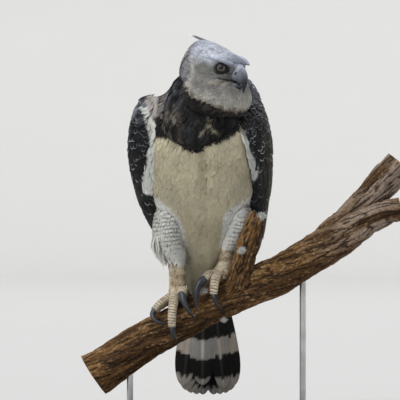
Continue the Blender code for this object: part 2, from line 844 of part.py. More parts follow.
def cut_mouth(head, look):
    """The mouth line behind the bill: a thin wedge cut into both cheeks."""
    for side in (1, -1):
        keys = (
            (MOUTH_BACK, side * 52, MOUTH_UP, 1.0),
            (50, side * 42, MOUTH_UP, 1.8),
            (58, side * 34, MOUTH_UP - 0.5, 2.2),
            (65, side * 27, MOUTH_UP - 1, 2.2),
        )
        found = along(keys, 5)
        turn = np.arange(6) * math.pi / 3
        inward = np.array((0.35, -side * 0.94, 0.0))
        ring = (
            found[:, None, :3]
            + inward * MOUTH_DEEP * MM * np.cos(turn)[:, None]
            + np.array((0, 0, 1.0)) * (found[:, 3:] * np.sin(turn))[..., None]
        )
        cutter = ring_solid("mouth", in_head(ring), look)
        apply_boolean(head, cutter, "DIFFERENCE", "EXACT")
        remove(cutter)
    keep_largest(head)


def crest_point(around, sideways, out):
    """A point on the curve over the crown and down the nape, by its angle back from the top."""
    ahead, across, up = CREST_RADII
    shrink = np.sqrt(1 - (sideways / across) ** 2)
    x = CREST_AT[0] - (ahead * shrink + out) * np.sin(around)
    z = CREST_AT[2] + (up * shrink + out) * np.cos(around)
    return np.stack([x, sideways + 0 * x, z], -1)


def make_crest(look, chance):
    """The crest: rows of feathers that lie back over the nape, joined under their roots, and one that stands."""
    host = None
    made = []
    for row, (count, start, end, half) in enumerate(CREST_ROWS):
        for k in range(count):
            sideways = ((k + 0.5) / count * 2 - 1) * CREST_SPREAD + chance.uniform(-1.5, 1.5)
            reach = math.radians(end - start + chance.uniform(-7, 7) - 14 * abs(sideways) / CREST_SPREAD)
            u = np.linspace(0, 1, 6)
            around = math.radians(start) + reach * u
            across = sideways * (1 - 0.12 * u)
            out = CREST_LIFT[row] + 5.5 * u
            path = crest_point(around, across, out)
            outward = crest_point(around, across, out + 1) - path
            widths = vane_widths(half * MM, u, 0.7, 0.25)
            made.append(vane(in_head(path * MM), outward @ head_frame(), widths, 1.0 * MM, 0.8 * MM, look))
    found = along(CREST_RAISED, 6)
    line = found[:, :3]
    outward = np.broadcast_to((0.25, 0.3, 1.0), line.shape)
    made.append(vane(in_head(line), outward @ head_frame(), found[:, 3], 0.9 * MM, 0.5 * MM, look))
    pad = ball("crest", CREST_PAD_AT, CREST_PAD_RADII, look, 12, 8)
    return fuse(pad, made)


def bark(place, angle):
    """How a branch's radius varies: long ridges that wind a little, and slow swellings."""
    ridges = 0.045 * np.cos(4 * angle + 5 * place) + 0.03 * np.cos(7 * angle - 9 * place)
    return 1 + ridges + 0.035 * np.sin(21 * place + 2 * angle)


def make_branch(look):
    branch = tube("perch_branch", BRANCH, 21, 13, look, bark)
    fork = tube("fork", FORK, 7, 10, look, bark)
    snag = tube("snag", SNAG, 7, 10, look, bark, ragged=SNAG_RAGGED * MM)
    return fuse(branch, [fork, snag], "EXACT")


def make_base(look):
    """The flat base, a cube scaled to its size with its edges rounded."""
    low, high = np.array(BASE_LOW), np.array(BASE_HIGH)
    middle, size = (low + high) / 2, high - low
    bpy.ops.mesh.primitive_cube_add(size=1, location=(middle[0], middle[1], BASE_THICK / 2))
    base = bpy.context.object
    base.name = "stand_base"
    base.scale = (size[0], size[1], BASE_THICK)
    bpy.ops.object.transform_apply(location=False, rotation=False, scale=True)
    bevel = base.modifiers.new("rounded edge", "BEVEL")
    bevel.width = BASE_ROUND
    bevel.segments = 2
    base.data.materials.append(look)
    bpy.context.collection.objects.unlink(base)
    PARTS.objects.link(base)
    return base


def make_rod(name, x, top, look):
    """A rod from the base up into the branch."""
    low = BASE_THICK + GAP
    middle = (x, 0, (top + low) / 2)
    bpy.ops.mesh.primitive_cylinder_add(vertices=20, radius=ROD_RADIUS, depth=top - low, location=middle)
    rod = bpy.context.object
    rod.name = name
    bpy.ops.object.transform_apply()
    rod.data.materials.append(look)
    bpy.context.collection.objects.unlink(rod)
    PARTS.objects.link(rod)
    return rod


def tail_feathers(look, chance):
    """Twelve tail feathers, the middle pair at the back and the outer pairs folded in front of it."""
    made = []
    for pair, (lean, short) in enumerate(TAIL_FEATHERS):
        for side in (1, -1):
            u = np.array((0, 0.2, 0.5, 0.78, 0.90, 0.97, 1))
            layer = pair * 2 + (0 if side > 0 else 1)
            swing = math.radians(side * lean + TAIL_LEAN)
            fall = TAIL_ROOT[2] - TAIL_TIP_Z - short * MM + chance.uniform(-1.5, 1.5) * MM
            z = TAIL_ROOT[2] - fall * u
            x = TAIL_ROOT[0] + side * (3 + 0.8 * lean) * MM + fall * u * math.tan(swing)
            y = TAIL_ROOT[1] + 0.008 + TAIL_SLOPE * fall * u - layer * TAIL_LAYER * MM * (0.45 + 0.55 * u)
            path = np.stack([x, y, z], -1)
            outward = np.broadcast_to((0.0, -1.0, -TAIL_SLOPE), path.shape)
            widths = vane_widths(TAIL_HALF * MM, u, 0.35, 0.28)
            made.append(vane(path, outward, widths, TAIL_THICK * MM, 0.0, look))
    return made


def thigh_tufts(keys, side, look, chance):
    """Long feathers that hang free round the lower end of a thigh, on its outer and back sides."""
    found = along(keys, 12)
    made = []
    for k in range(TUFTS):
        angle = math.radians(-30 + 240 * (k + 0.5) / TUFTS)
        direction = np.array((side * math.cos(angle), math.sin(angle), 0))
        u = np.linspace(0, 1, 5)
        start = found[7]
        wide, deep = start[3], start[4]
        root = start[:3] + direction * (wide, deep, 0) * 0.80
        length = chance.uniform(0.040, 0.056)
        path = root + u[:, None] * (direction * 0.016 + np.array((-side * 0.010, 0.006, -length)))
        outward = np.broadcast_to(direction, path.shape)
        made.append(vane(path, outward, vane_widths(TUFT_HALF * MM, u, 0.7), 0.9 * MM, 0.0, look))
    return made


def main():
    clear_scene()
    bpy.context.scene.collection.children.link(PARTS)
    chance = np.random.default_rng(7)
    pale = material("pale_plumage", (0.62, 0.60, 0.54), 0.85)
    grey = material("grey_plumage", (0.36, 0.36, 0.38), 0.85)
    dark = material("dark_plumage", (0.03, 0.03, 0.035), 0.75)
    horn = material("dark_horn", (0.05, 0.055, 0.07), 0.35)
    scaly = material("scaly_skin", (0.46, 0.37, 0.25), 0.6)
    eyeball = material("eyeball", (0.12, 0.10, 0.07), 0.08)
    wood = material("bark_wood", (0.22, 0.14, 0.08), 0.9)
    board = material("base_board", (0.06, 0.05, 0.045), 0.45)
    steel = material("rod_steel", (0.35, 0.35, 0.36), 0.3, 1.0)

    torso = make_torso(pale)
    neck = make_neck(dark)
    head = make_head(grey)
    eyes = [make_eye(side, eyeball) for side in (1, -1)]
    carve(head, *eyes, solver="EXACT")
    cut_mouth(head, grey)
    carve(torso, head)
    upper, lower = make_bill(horn)
    carve(upper, head)
    carve(lower, head, upper)
    cut_nostrils(upper, horn)
    crest = make_crest(grey, chance)
    carve(neck, torso, head, lower, upper)
    carve(crest, head, neck, torso)

    branch = make_branch(wood)
    legs = (("right", THIGH_RIGHT, TARSUS_RIGHT, -1), ("left", THIGH_LEFT, TARSUS_LEFT, 1))
    thighs = []
    for name, thigh_keys, tarsus_keys, side in legs:
        thigh = tube("thigh_" + name, thigh_keys, 11, 14, pale)
        fuse(thigh, thigh_tufts(thigh_keys, side, pale, chance))
        carve(thigh, torso, branch)
        tarsus = tube("tarsus_" + name, tarsus_keys, 8, 12, scaly)
        carve(tarsus, thigh, torso, branch)
        thighs.append(thigh)
        toes = []
        for which in ("middle", "inner", "outer", "hind"):
            key = f"{name}_{which}"
            toe = tube("toe_" + key, TOES["toe_" + key], 8, 8, scaly)
            carve(toe, tarsus, branch, *toes)
            toes.append(toe)
        for which, toe in zip(("middle", "inner", "outer", "hind"), toes):
            key = f"{name}_{which}"
            claw = tube("claw_" + key, CLAWS["claw_" + key], 7, 7, horn)
            carve(claw, toe, branch)

    guide = level_loft("tail_guide", TAIL_GUIDE, 9, 12, dark, power=2.2)
    wings = (("wing_right", WING_RIGHT, -1, thighs[0]), ("wing_left", WING_LEFT, 1, thighs[1]))
    for name, keys, side, thigh in wings:
        wing = wing_core(name, keys, side, 12, 8, WING_COVER * MM, dark)
        fuse(wing, wing_feathers(keys, side, dark, chance))
        carve(wing, torso, neck, head, thigh, guide, branch)
    remove(guide)
    tail = level_loft("tail", TAIL_CORE, 7, 14, dark, power=2.1)
    fuse(tail, tail_feathers(dark, chance))
    carve(tail, torso, branch)

    make_base(board)
    for name, x in (("stand_rod_left", ROD_LEFT_X), ("stand_rod_right", ROD_RIGHT_X)):
        line = along(BRANCH, 200)
        top = line[np.argmin(abs(line[:, 0] - x)), 2]
        carve(make_rod(name, x, top, steel), branch)

    for thing in PARTS.objects:
        thing.data.shade_smooth()
        thing.data.set_sharp_from_angle(angle=math.radians(40))


PARTS = bpy.data.collections.new("perched_eagle")
main()
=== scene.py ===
"""A perched harpy eagle, life size: its skin, plumage, face, feet and claws, and its branch and stand.

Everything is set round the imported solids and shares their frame: metres, +Z up, the bird looking towards -Y
with its head turned to its own left, which is +X. Tables are in millimetres and are scaled by MM.
"""

import math

import bpy
import numpy as np
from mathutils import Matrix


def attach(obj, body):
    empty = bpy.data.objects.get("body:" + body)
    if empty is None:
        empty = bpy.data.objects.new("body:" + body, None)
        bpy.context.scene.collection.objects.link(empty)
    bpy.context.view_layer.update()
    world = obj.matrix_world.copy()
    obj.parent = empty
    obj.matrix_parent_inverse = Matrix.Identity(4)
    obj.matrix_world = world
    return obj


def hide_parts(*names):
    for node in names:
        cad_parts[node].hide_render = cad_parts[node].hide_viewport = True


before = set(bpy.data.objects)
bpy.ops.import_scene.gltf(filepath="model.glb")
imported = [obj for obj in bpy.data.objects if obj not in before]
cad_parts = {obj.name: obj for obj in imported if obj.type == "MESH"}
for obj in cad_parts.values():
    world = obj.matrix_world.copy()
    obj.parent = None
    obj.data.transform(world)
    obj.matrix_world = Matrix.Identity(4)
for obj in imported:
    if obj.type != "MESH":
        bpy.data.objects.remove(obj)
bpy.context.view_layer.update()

MM = 0.001
chance = np.random.default_rng(23)


# The head's own frame: its middle, how far it is turned to the bird's left, and how far it looks down
HEAD_AT = np.array((0.0176, -0.094, 0.736))
HEAD_TURN = math.radians(52)
HEAD_DOWN = math.radians(8)
EYE_AT = (44, 31.5, 29)  # forward, sideways, up in the head's frame
GAZE = (0.54, 0.84, 0.05)  # where the left eye looks, in the same frame
EYE_RADIUS, CORNEA_RISE, LID_RADIUS = 12.7, 0.9, 13.6
LID_OUT = (16.0, 12.4)  # half the lids' width and height at their outer edge
BARE = (14.6, 11.4)  # half width and height of the bare skin round an eye, where no feather has its root
HEM_AT, HEM_SLOPE = 31.5, 0.37  # how far under the head's middle its pale feathers end, and how this falls forwards

# The trunk: height, middle across, half width, front, back
TORSO = (
    (258, -15, 8, 70, 86), (268, -14, 20, 56, 98), (290, -12, 32, 38, 112), (320, -10, 45, 16, 122),
    (350, -8, 57, -8, 128), (385, -7, 74, -38, 131), (420, -6, 93, -74, 130), (455, -6, 106, -106, 125),
    (490, -6, 114, -130, 118), (530, -6, 118, -146, 109), (570, -6, 121, -154, 100), (610, -5, 123, -150, 92),
    (645, -5, 124, -130, 88), (675, -7, 124, -98, 82), (700, -8, 113, -62, 74), (722, -8, 88, -28, 62),
    (736, -8, 56, -4, 48), (743, -8, 22, 14, 34),
)
# The neck with its dark ruff, in the same columns
NECK = (
    (586, -22, 26, -150, -100), (596, -20, 48, -157, -70), (615, -16, 72, -163, -30), (645, -8, 85, -160, 10),
    (675, 0, 86, -152, 20), (705, 5, 81, -142, 14), (735, 10, 72, -130, 0), (752, 12, 60, -120, -20),
)
# The head's rounded masses, skull, face, forehead and throat: their middles and radii in the head's frame
HEAD_CORE = (12, 0, 12)
HEAD_LOBES = (
    ((-12, 0, 11), (68, 62, 64)), ((27, 0, 12), (41, 48, 44)), ((34, 0, 30), (36, 42, 29)),
    ((15, 0, -36), (71, 86, 57)),
)
HEAD_BLEND = 12  # the higher, the sharper the folds between the masses
# Swellings and hollows on each side of the head: middle, spread, and rise
HEAD_BUMPS = (
    ((46, 42, 28), 12, -3.0),  # socket
    ((62, 24, 20), 11, -3.5),  # hollow between eye and bill
    ((14, 60, -2), 24, 4.0),  # cheek
)
# One brow: forward, sideways, up, radius
BROW = (
    (12, 43, 50, 3), (28, 43, 50, 8), (46, 39, 46, 9), (60, 33, 43, 7), (72, 28, 40, 3),
)
# The upper bill: share of its length, forward and up of its ridge and of its cutting edge, and half width
BILL_UPPER = (
    (0.00, 54, 41, 54, 2, 18), (0.22, 67, 39, 66, 2, 16), (0.44, 80, 34, 75, 1, 13), (0.62, 89, 23, 81, -2, 10),
    (0.78, 93.5, 9, 84, -7, 7), (0.90, 92.5, -6, 85.5, -13, 4), (1.00, 87, -21, 85.5, -20, 1),
)
# The lower bill: share, its top's and bottom's forward and up, and the half width
BILL_LOWER = (
    (0.00, 50, 0.5, 50, -13, 14), (0.45, 66, 0.5, 66, -15, 12), (0.80, 77, -3, 76, -14, 8),
    (1.00, 82, -7, 81, -11, 2.5),
)
NOSTRIL_AT = (72, 15, 19)

# A folded wing, by height: its outer edge's distance from the trunk's middle, depth of its front and back
# quarter, angles of its front and back edges round the trunk from straight ahead, and thickness
WING_RIGHT = (
    (704, 118, 78, 60, 72, 104, 8), (698, 132, 92, 84, 56, 120, 17), (680, 146, 104, 104, 46, 138, 26),
    (650, 157, 108, 116, 41, 150, 34), (615, 163, 102, 128, 38, 158, 38), (580, 165, 94, 140, 38, 163, 38),
    (540, 160, 84, 140, 41, 165, 34), (500, 151, 76, 134, 44, 164, 28), (460, 138, 66, 126, 49, 160, 22),
    (420, 120, 58, 122, 58, 154, 16), (390, 101, 52, 122, 70, 150, 12), (350, 88, 46, 124, 92, 147, 8),
    (310, 72, 40, 122, 112, 143, 5), (280, 62, 36, 118, 126, 138, 3),
)
WING_LEFT = (
    (746, 86, 70, 50, 66, 104, 8), (737, 103, 86, 74, 50, 120, 17), (714, 121, 98, 94, 42, 138, 26),
    (682, 134, 104, 108, 38, 150, 34), (645, 146, 104, 120, 37, 157, 38), (605, 154, 98, 134, 39, 162, 38),
    (560, 156, 88, 140, 43, 164, 34), (515, 154, 80, 136, 47, 163, 28), (470, 148, 70, 128, 49, 159, 22),
    (430, 142, 62, 124, 53, 154, 16), (394, 136, 56, 124, 58, 150, 12), (350, 122, 50, 126, 70, 146, 8),
    (310, 92, 44, 124, 100, 143, 5), (285, 72, 38, 120, 122, 138, 3),
)
TRUNK_X = -6  # the trunk's middle, which the wings are measured from
SQUARED = 2.3  # the power of the trunk's and the neck's superellipses: 2 is an ellipse
# How far back of the origin the trunk's middle lies, by height
MIDDLE = ((260, 82), (350, 62), (420, 30), (490, -5), (550, -22), (600, -29), (650, -20), (700, 6), (745, 20))

# The tail: where its feathers start and how they run
TAIL_ROOT = (0.000, 0.124, 0.398)
TAIL_LEAN = 1.2  # degrees that the whole tail swings to the bird's left
TAIL_HALF = 23  # half width of a tail feather
TAIL_LAYER = 1.35  # how far one tail feather lies in front of the last
TAIL_SLOPE = 0.20  # backwards for each unit of fall
TAIL_TIP_Z = 0.036
# Tail feathers from the back forwards: angle from straight down, and how far short of the tip
TAIL_FEATHERS = ((1.3, 0), (3.3, 1), (5.1, 4), (6.6, 10), (7.8, 20), (2.6, 24))
TAIL_CORE = (
    (462, -2, 16, 92, 118), (440, -2, 38, 92, 142), (405, -1, 50, 98, 154), (365, 0, 50, 112, 160),
    (335, 1, 45, 124, 163), (315, 2, 36, 134, 163), (306, 2, 18, 142, 160),
)

# Legs: middle across, front to back and up, then radii across and front to back
THIGH_RIGHT = (
    (-62, -16, 506, 8, 14), (-65, -18, 480, 24, 36), (-72, -20, 450, 35, 50), (-79, -18, 415, 35, 49),
    (-81, -12, 382, 33, 43), (-72, -4, 354, 30, 34), (-64, 2, 336, 22, 24),
)
THIGH_LEFT = (
    (58, -16, 514, 8, 14), (60, -18, 492, 22, 38), (64, -20, 462, 33, 50), (70, -16, 430, 34, 48),
    (67, -6, 398, 32, 40), (56, 2, 372, 25, 29), (50, 5, 358, 19, 22),
)
TARSUS_RIGHT = (
    (-64, 2, 352, 17, 18), (-62, 5, 330, 19, 20), (-61, 4, 305, 18, 19), (-60, 0, 282, 19, 20),
    (-59, -3, 266, 21, 22), (-59, -4, 256, 17, 18),
)
TARSUS_LEFT = (
    (51, 6, 374, 15, 16), (48, 7, 352, 17, 18), (44, 6, 332, 17, 18), (39, 1, 318, 19, 20),
    (36, -3, 306, 20, 21), (35, -4, 297, 17, 18),
)
THIGH_BARS = 8.8  # from one dark bar on a thigh to the next
# Toes and claws: points along the middle line, with the radius at each
TOES = {
    "toe_right_middle": (
        (-62, -10, 262, 11), (-66, -34, 256, 11), (-70, -52, 236, 10), (-72, -59, 212, 9), (-72, -59, 193, 8),
    ),
    "toe_right_outer": ((-66, -8, 262, 11), (-84, -20, 250, 11), (-99, -30, 240, 10), (-111, -35, 228, 8.5)),
    "toe_right_inner": ((-54, -10, 263, 12), (-48, -26, 268, 12), (-48, -42, 270, 11), (-51, -53, 263, 10)),
    "toe_right_hind": ((-60, 6, 262, 12), (-58, 26, 258, 12), (-56, 43, 246, 11), (-54, 53, 228, 10)),
    "toe_left_middle": (
        (32, -10, 302, 11), (26, -32, 302, 11), (22, -49, 292, 10), (20, -56, 276, 9), (19, -56, 264, 8),
    ),
    "toe_left_outer": ((40, -2, 302, 11), (52, 14, 300, 10.5), (62, 28, 296, 10), (71, 39, 286, 8.5)),
    "toe_left_inner": ((30, -10, 303, 12), (17, -24, 305, 12), (7, -36, 303, 11), (0, -44, 295, 10)),
    "toe_left_hind": ((34, 6, 302, 12), (30, 25, 299, 12), (28, 41, 288, 11), (27, 51, 270, 10)),
}
CLAWS = {
    "claw_right_middle": ((-72, -58, 199, 6.5), (-71, -62, 184, 6), (-67, -61, 170, 4.2), (-63, -56, 158, 1.2)),
    "claw_right_outer": (
        (-110, -36, 231, 6.5), (-115, -43, 219, 6), (-107, -50, 206, 4.5), (-94, -53, 201, 3),
        (-84, -52, 201, 1),
    ),
    "claw_right_inner": (
        (-51, -52, 267, 8), (-48, -62, 254, 7.5), (-41, -66, 238, 6), (-32, -63, 224, 4), (-24, -56, 213, 1.2),
    ),
    "claw_right_hind": (
        (-54, 53, 233, 9), (-52, 66, 216, 8), (-50, 70, 196, 6.5), (-48, 65, 178, 4.2), (-46, 54, 166, 1.2),
    ),
    "claw_left_middle": ((20, -56, 270, 6.5), (21, -62, 257, 6), (27, -62, 244, 4.5), (38, -58, 231, 1.2)),
    "claw_left_outer": ((70, 38, 289, 6.5), (79, 47, 280, 6), (87, 53, 266, 4.2), (90, 54, 250, 1.2)),
    "claw_left_inner": (
        (1, -43, 299, 8.5), (-10, -53, 290, 8), (-18, -60, 272, 6.8), (-20, -60, 250, 4.8),
        (-17, -54, 227, 1.2),
    ),
    "claw_left_hind": (
        (27, 51, 275, 9), (26, 65, 259, 8), (25, 70, 240, 6.5), (25, 66, 222, 4.2), (25, 55, 210, 1.2),
    ),
}

SCUTE = 5.6  # from one plate of a toe to the next
# The branch: middle across, front to back and up, with the radius
BRANCH = (
    (-246, 2, 86, 47), (-200, 0, 116, 46), (-121, -2, 168, 42), (-60, 0, 199, 41), (-11, 0, 224, 41),
    (40, 0, 249, 41), (99, 0, 278, 43), (160, 0, 305, 45), (209, -2, 333, 45), (262, -4, 366, 43),
    (308, -6, 394, 38), (352, -8, 422, 33), (396, -8, 444, 30), (431, -8, 452, 29),
)
FORK = (
    (238, 2, 358, 28), (272, 8, 388, 32), (308, 14, 422, 33), (352, 20, 465, 34), (396, 25, 513, 35),
    (431, 28, 549, 36),
)
SNAG = (
    (62, -4, 262, 30), (76, -22, 302, 28), (86, -36, 340, 25), (98, -46, 384, 23), (109, -54, 420, 19.5),
    (115, -58, 438, 17),
)
SNAG_RAGGED = 9  # how far the snag's torn end reaches out and in
# The crest lies on an ellipsoid, in the head's frame: its middle, its radii, and how far sideways it spreads
CREST_AT = (-8, 0, 8)
CREST_RADII = (66, 61, 67)
CREST_SPREAD = 50
# Its rows: how many feathers, degrees back from the top where they start and end, half width, and lift
CREST_ROWS = ((9, 6, 84, 7.5, 0.5), (11, 22, 104, 8.5, -1.0), (12, 40, 122, 9.0, -2.5), (12, 58, 138, 9.0, -4.0))
# The one feather that stands off: forward, sideways, up, half width
CREST_RAISED = ((-10, 3, 73, 2.2), (-30, 4, 78, 3.4), (-50, 5, 81.5, 3.8), (-67, 6, 84.6, 3.0), (-84, 6, 87.4, 1.1))
CREST_SWELL = ((-43, 0, 66), 27, 12)  # middle, spread and rise of the crest's roots under the crown
HEM_THREADS, TUFT_PLUMES, DOWN_THREADS = 1300, 130, 420  # how many hang at the collar, the thigh and each bit of down
# Loose down on the branch: where it sits, and how big it is
DOWN_AT = (((125, -76, 436), 11), ((80, -66, 361), 10), ((-2, -43, 271), 9), ((41, -20, 208), 8))
MOUTH_LINE = (48, 5.0, -0.072)  # the mouth's line: where it starts, its height there, and its slope forward
CHIN = ((-5, 11), (50, 70), 14)  # the hollow under the bill: height and spread, where it starts and ends, depth


def unit(v):
    """Vectors divided by their lengths."""
    return v / np.maximum(np.linalg.norm(v, axis=-1, keepdims=True), 1e-12)


def smooth(low, high, x):
    """A smooth step: 0 below low, 1 above high, and 3 t^2 - 2 t^3 between."""
    t = np.clip((x - low) / (high - low), 0, 1)
    return t * t * (3 - 2 * t)


def bell(x, width):
    """A bell curve, exp(-(x / width)^2)."""
    return np.exp(-((x / width) ** 2))


def spline(keys, at):
    """Values at the places in at, on a smooth cubic curve through keys, whose rows are a place and its values."""
    keys = np.array(keys, float)
    if keys[0, 0] > keys[-1, 0]:
        keys = keys[::-1]
    place, value = keys[:, 0], keys[:, 1:]
    slope = np.gradient(value, place, axis=0)
    at = np.clip(np.asarray(at, float), place[0], place[-1])
    i = np.clip(np.searchsorted(place, at) - 1, 0, len(place) - 2)
    span = (place[i + 1] - place[i])[..., None]
    t = (at - place[i])[..., None] / span
    rest = 1 - t
    ends = (1 + 2 * t) * rest**2 * value[i] + t * t * (3 - 2 * t) * value[i + 1]
    return ends + t * rest * span * (rest * slope[i] - t * slope[i + 1])


def rounded(wave, power):
    """A sine or cosine made squarer: its sign times its size to the power 2 / power."""
    return np.sign(wave) * np.abs(wave) ** (2 / power)


def lattice(cell, seed):
    """Even values from 0 to 1 for whole-number cells: their coordinates multiplied, mixed and cut to 16 bits."""
    mixed = (cell * np.array((73856093, 19349663, 83492791))).sum(-1) + seed * 2654435
    mixed = ((mixed ^ (mixed >> 13)) * 1274126177) & 0xFFFFFFFF
    return ((mixed ^ (mixed >> 16)) & 0xFFFF) / 65535


def noise(points, size, seed):
    """Smooth noise from -1 to 1: lattice values blended along x, y and z by 3 t^2 - 2 t^3."""
    place = np.asarray(points, float) / size
    base = np.floor(place).astype(np.int64)
    t = place - base
    t = t * t * (3 - 2 * t)
    total = 0
    for corner in np.ndindex(2, 2, 2):
        weight = np.where(corner, t, 1 - t).prod(-1)
        total = total + weight * lattice(base + np.array(corner), seed)
    return 2 * total - 1


def rough(points, size, octaves, seed):
    """Noise in octaves, each half as wide and 0.55 as strong as the last."""
    return sum(0.55**k * noise(points, size / 2**k, seed + 7 * k) for k in range(octaves))


def run_of(line):
    """How far along a line each of its points lies, in mm: the sum of the steps so far."""
    return np.concatenate([[0], np.cumsum(np.linalg.norm(np.diff(line, axis=0), axis=1))]) / MM


def joined(*parts):
    """Points or pairs from their parts, some of which may be single numbers."""
    return np.stack(np.broadcast_arrays(*parts), -1)


def gathered(groups):
    """Groups of arrays put together: one long array for each place in a group."""
    return [np.concatenate(column) for column in zip(*groups)]


def read_off(table, at):
    """Values between the rows of a table of pairs."""
    return np.interp(at, *np.array(table).T)


def on_axes(start, axes, *parts):
    """Points from a start and their parts along axes."""
    return sum((np.asarray(part)[..., None] * axis for part, axis in zip(parts, axes)), start)


def turns(columns):
    """Even angles once round."""
    return np.arange(columns) * math.tau / columns


def outline(keys, height):
    """A column's middle across, half width, front and back at heights."""
    return np.moveaxis(spline(keys, height), -1, 0)


def along(keys, rows):
    """Points on a smooth line through keys, spaced by length, with whatever else the keys' rows hold."""
    keys = np.array(keys, float) * MM
    step = np.linalg.norm(np.diff(keys[:, :3], axis=0), axis=1)
    place = np.concatenate([[0], np.cumsum(step)])
    return spline(np.column_stack([place, keys]), np.linspace(0, place[-1], rows))


def carried_frames(line):
    """Side and lift directions along a line of points, carried from one to the next without twist."""
    ahead = unit(np.gradient(line, axis=0))
    guide = np.array((0.0, 0.0, 1.0)) if abs(ahead[0, 2]) < 0.9 else np.array((0.0, 1.0, 0.0))
    side = np.cross(ahead[0], guide)
    sides = []
    for direction in ahead:
        side = unit(side - direction * side.dot(direction))
        sides.append(side)
    sides = np.array(sides)
    return sides, np.cross(sides, ahead)


def head_frame():
    """The head's forward, sideways and up directions. Sideways is the bird's own left."""
    turn, down = HEAD_TURN, HEAD_DOWN
    ahead = (math.sin(turn) * math.cos(down), -math.cos(turn) * math.cos(down), -math.sin(down))
    left = (math.cos(turn), math.sin(turn), 0)
    up = (math.sin(turn) * math.sin(down), -math.cos(turn) * math.sin(down), math.cos(down))
    return np.array((ahead, left, up))


def in_head(points):
    """Points of the head's own frame, placed on the bird."""
    return HEAD_AT + np.asarray(points, float) @ head_frame()


def head_view(points):
    """The bird's points in the head's own frame, in millimetres."""
    return (points - HEAD_AT) @ head_frame().T / MM


# Surfaces: each takes places, whose last axis holds its parameters, and how far outside it the points lie, in mm


def trunk_at(place, out=0.0):
    """Level superellipses: angle from straight ahead towards the bird's left, and height in millimetres.

    A shallow cleft parts the breast: a bell across times a bell of the height. The right shoulder lies lower.
    """
    angle, height = place[..., 0], place[..., 1]
    middle, half, front, back = outline(TORSO, height)
    cleft = 8.0 * bell((np.mod(angle + math.pi, math.tau) - math.pi) * half - 4, 9) * bell(height - 530, 95)
    lump = joined(55 * np.sin(angle), 55 * np.cos(angle), 0.8 * height)
    soft = 2.6 * noise(lump, 26, 91) - 0.8
    wide, deep = half + out + soft, (back - front) / 2 + out + soft
    x = middle + wide * rounded(np.sin(angle), SQUARED)
    y = (front + back) / 2 - deep * rounded(np.cos(angle), SQUARED) + cleft
    return joined(x, y, height - 21 * smooth(-52, -90, x) * smooth(678, 724, height)) * MM


def oval_at(keys, power):
    """Level superellipses: angle from straight ahead towards the bird's left, and height in millimetres."""

    def at(place, out=0.0):
        angle, height = place[..., 0], place[..., 1]
        middle, half, front, back = outline(keys, height)
        x = middle + (half + out) * rounded(np.sin(angle), power)
        y = (front + back) / 2 - ((back - front) / 2 + out) * rounded(np.cos(angle), power)
        return joined(x, y, height) * MM

    return at


ruff_at = oval_at(NECK, SQUARED)
rump_at = oval_at(TAIL_CORE, 2.1)


def head_reach(direction):
    """How far the head's surface lies from its core: the smooth maximum of its masses' reaches."""
    total = 0
    for middle, radii in HEAD_LOBES:
        start = (np.array(HEAD_CORE) - middle) / np.array(radii)
        step = direction / np.array(radii)
        a = (step * step).sum(-1)
        b = (step * start).sum(-1)
        c = (start * start).sum() - 1
        total = total + ((-b + np.sqrt(b * b - a * c)) / a) ** HEAD_BLEND
    return total ** (1 / HEAD_BLEND)


def mouth_height(ahead):
    """The height of the mouth's line: a straight line over the way forward."""
    return MOUTH_LINE[1] + MOUTH_LINE[2] * (ahead - MOUTH_LINE[0])


def head_side(ahead, height):
    """Half the head's width at a place on its side: the core's distance squared less the other two, rooted."""
    wide = np.full(len(ahead), 40.0)
    for _ in range(8):
        away = joined(ahead - HEAD_CORE[0], wide, height - HEAD_CORE[2])
        far = np.linalg.norm(head_shape(unit(away)) - np.array(HEAD_CORE), axis=-1)
        wide = np.sqrt(np.maximum(far**2 - away[:, 0] ** 2 - away[:, 2] ** 2, 4.0))
    return wide


def head_shape(direction):
    """The head's points in its own frame, in mm, with cheeks, sockets, brows and the mouth's grooves."""
    points = np.array(HEAD_CORE) + direction * head_reach(direction)[..., None]
    swellings = [((a, side * s, c), spread, rise, 1) for (a, s, c), spread, rise in HEAD_BUMPS for side in (1, -1)]
    for middle, spread, rise, narrow in swellings + [(*CREST_SWELL, 0.8)]:
        away = (points - middle) * (1, narrow, 1)
        points = points + direction * (rise * np.exp(-(away * away).sum(-1) / spread**2))[..., None]
    brow = spline([(i, *row) for i, row in enumerate(BROW)], np.linspace(0, 4, 13))
    for side in (1, -1):
        raised = 0
        for ahead, sideways, up, radius in brow:
            away = points - np.array((ahead, side * (sideways - 5), up))
            raised = np.maximum(raised, 0.6 * radius * np.exp(-(away * away).sum(-1) / (radius + 2.5) ** 2))
        points = points + np.array((0.25, 0.65 * side, 0.45)) * raised[..., None]
    a, s, c = np.moveaxis(points, -1, 0)
    (height, spread), (first, last), deep = CHIN
    hollow = deep * bell(c - height, spread) * smooth(first, last, a)
    groove = 3.0 * bell(c - mouth_height(a), 1.9) * smooth(42, 48, a) * smooth(12, 24, abs(s))
    return points - direction * (groove + hollow)[..., None]


def head_at(place, out=0.0):
    """The head's surface by direction from its core, in the head's frame."""
    direction = unit(place)
    return in_head((head_shape(direction) + direction * np.asarray(out)[..., None]) * MM)


def brow_at(side):
    """A brow's ridge: angle round it and share of the way forward."""
    table = along([(a, side * s, c, r) for a, s, c, r in BROW], 40) / MM
    sides, lifts = carried_frames(table[:, :3])
    table = np.column_stack([np.linspace(0, 1, 40), table, sides, lifts])

    def at(place, out=0.0):
        found = spline(table, place[..., 1])
        angle, reach = place[..., :1], found[..., 3:4] + np.asarray(out)[..., None]
        ring = found[..., 4:7] * np.cos(angle) + 0.8 * found[..., 7:10] * np.sin(angle)
        return in_head((found[..., :3] + reach * ring) * MM)

    return at


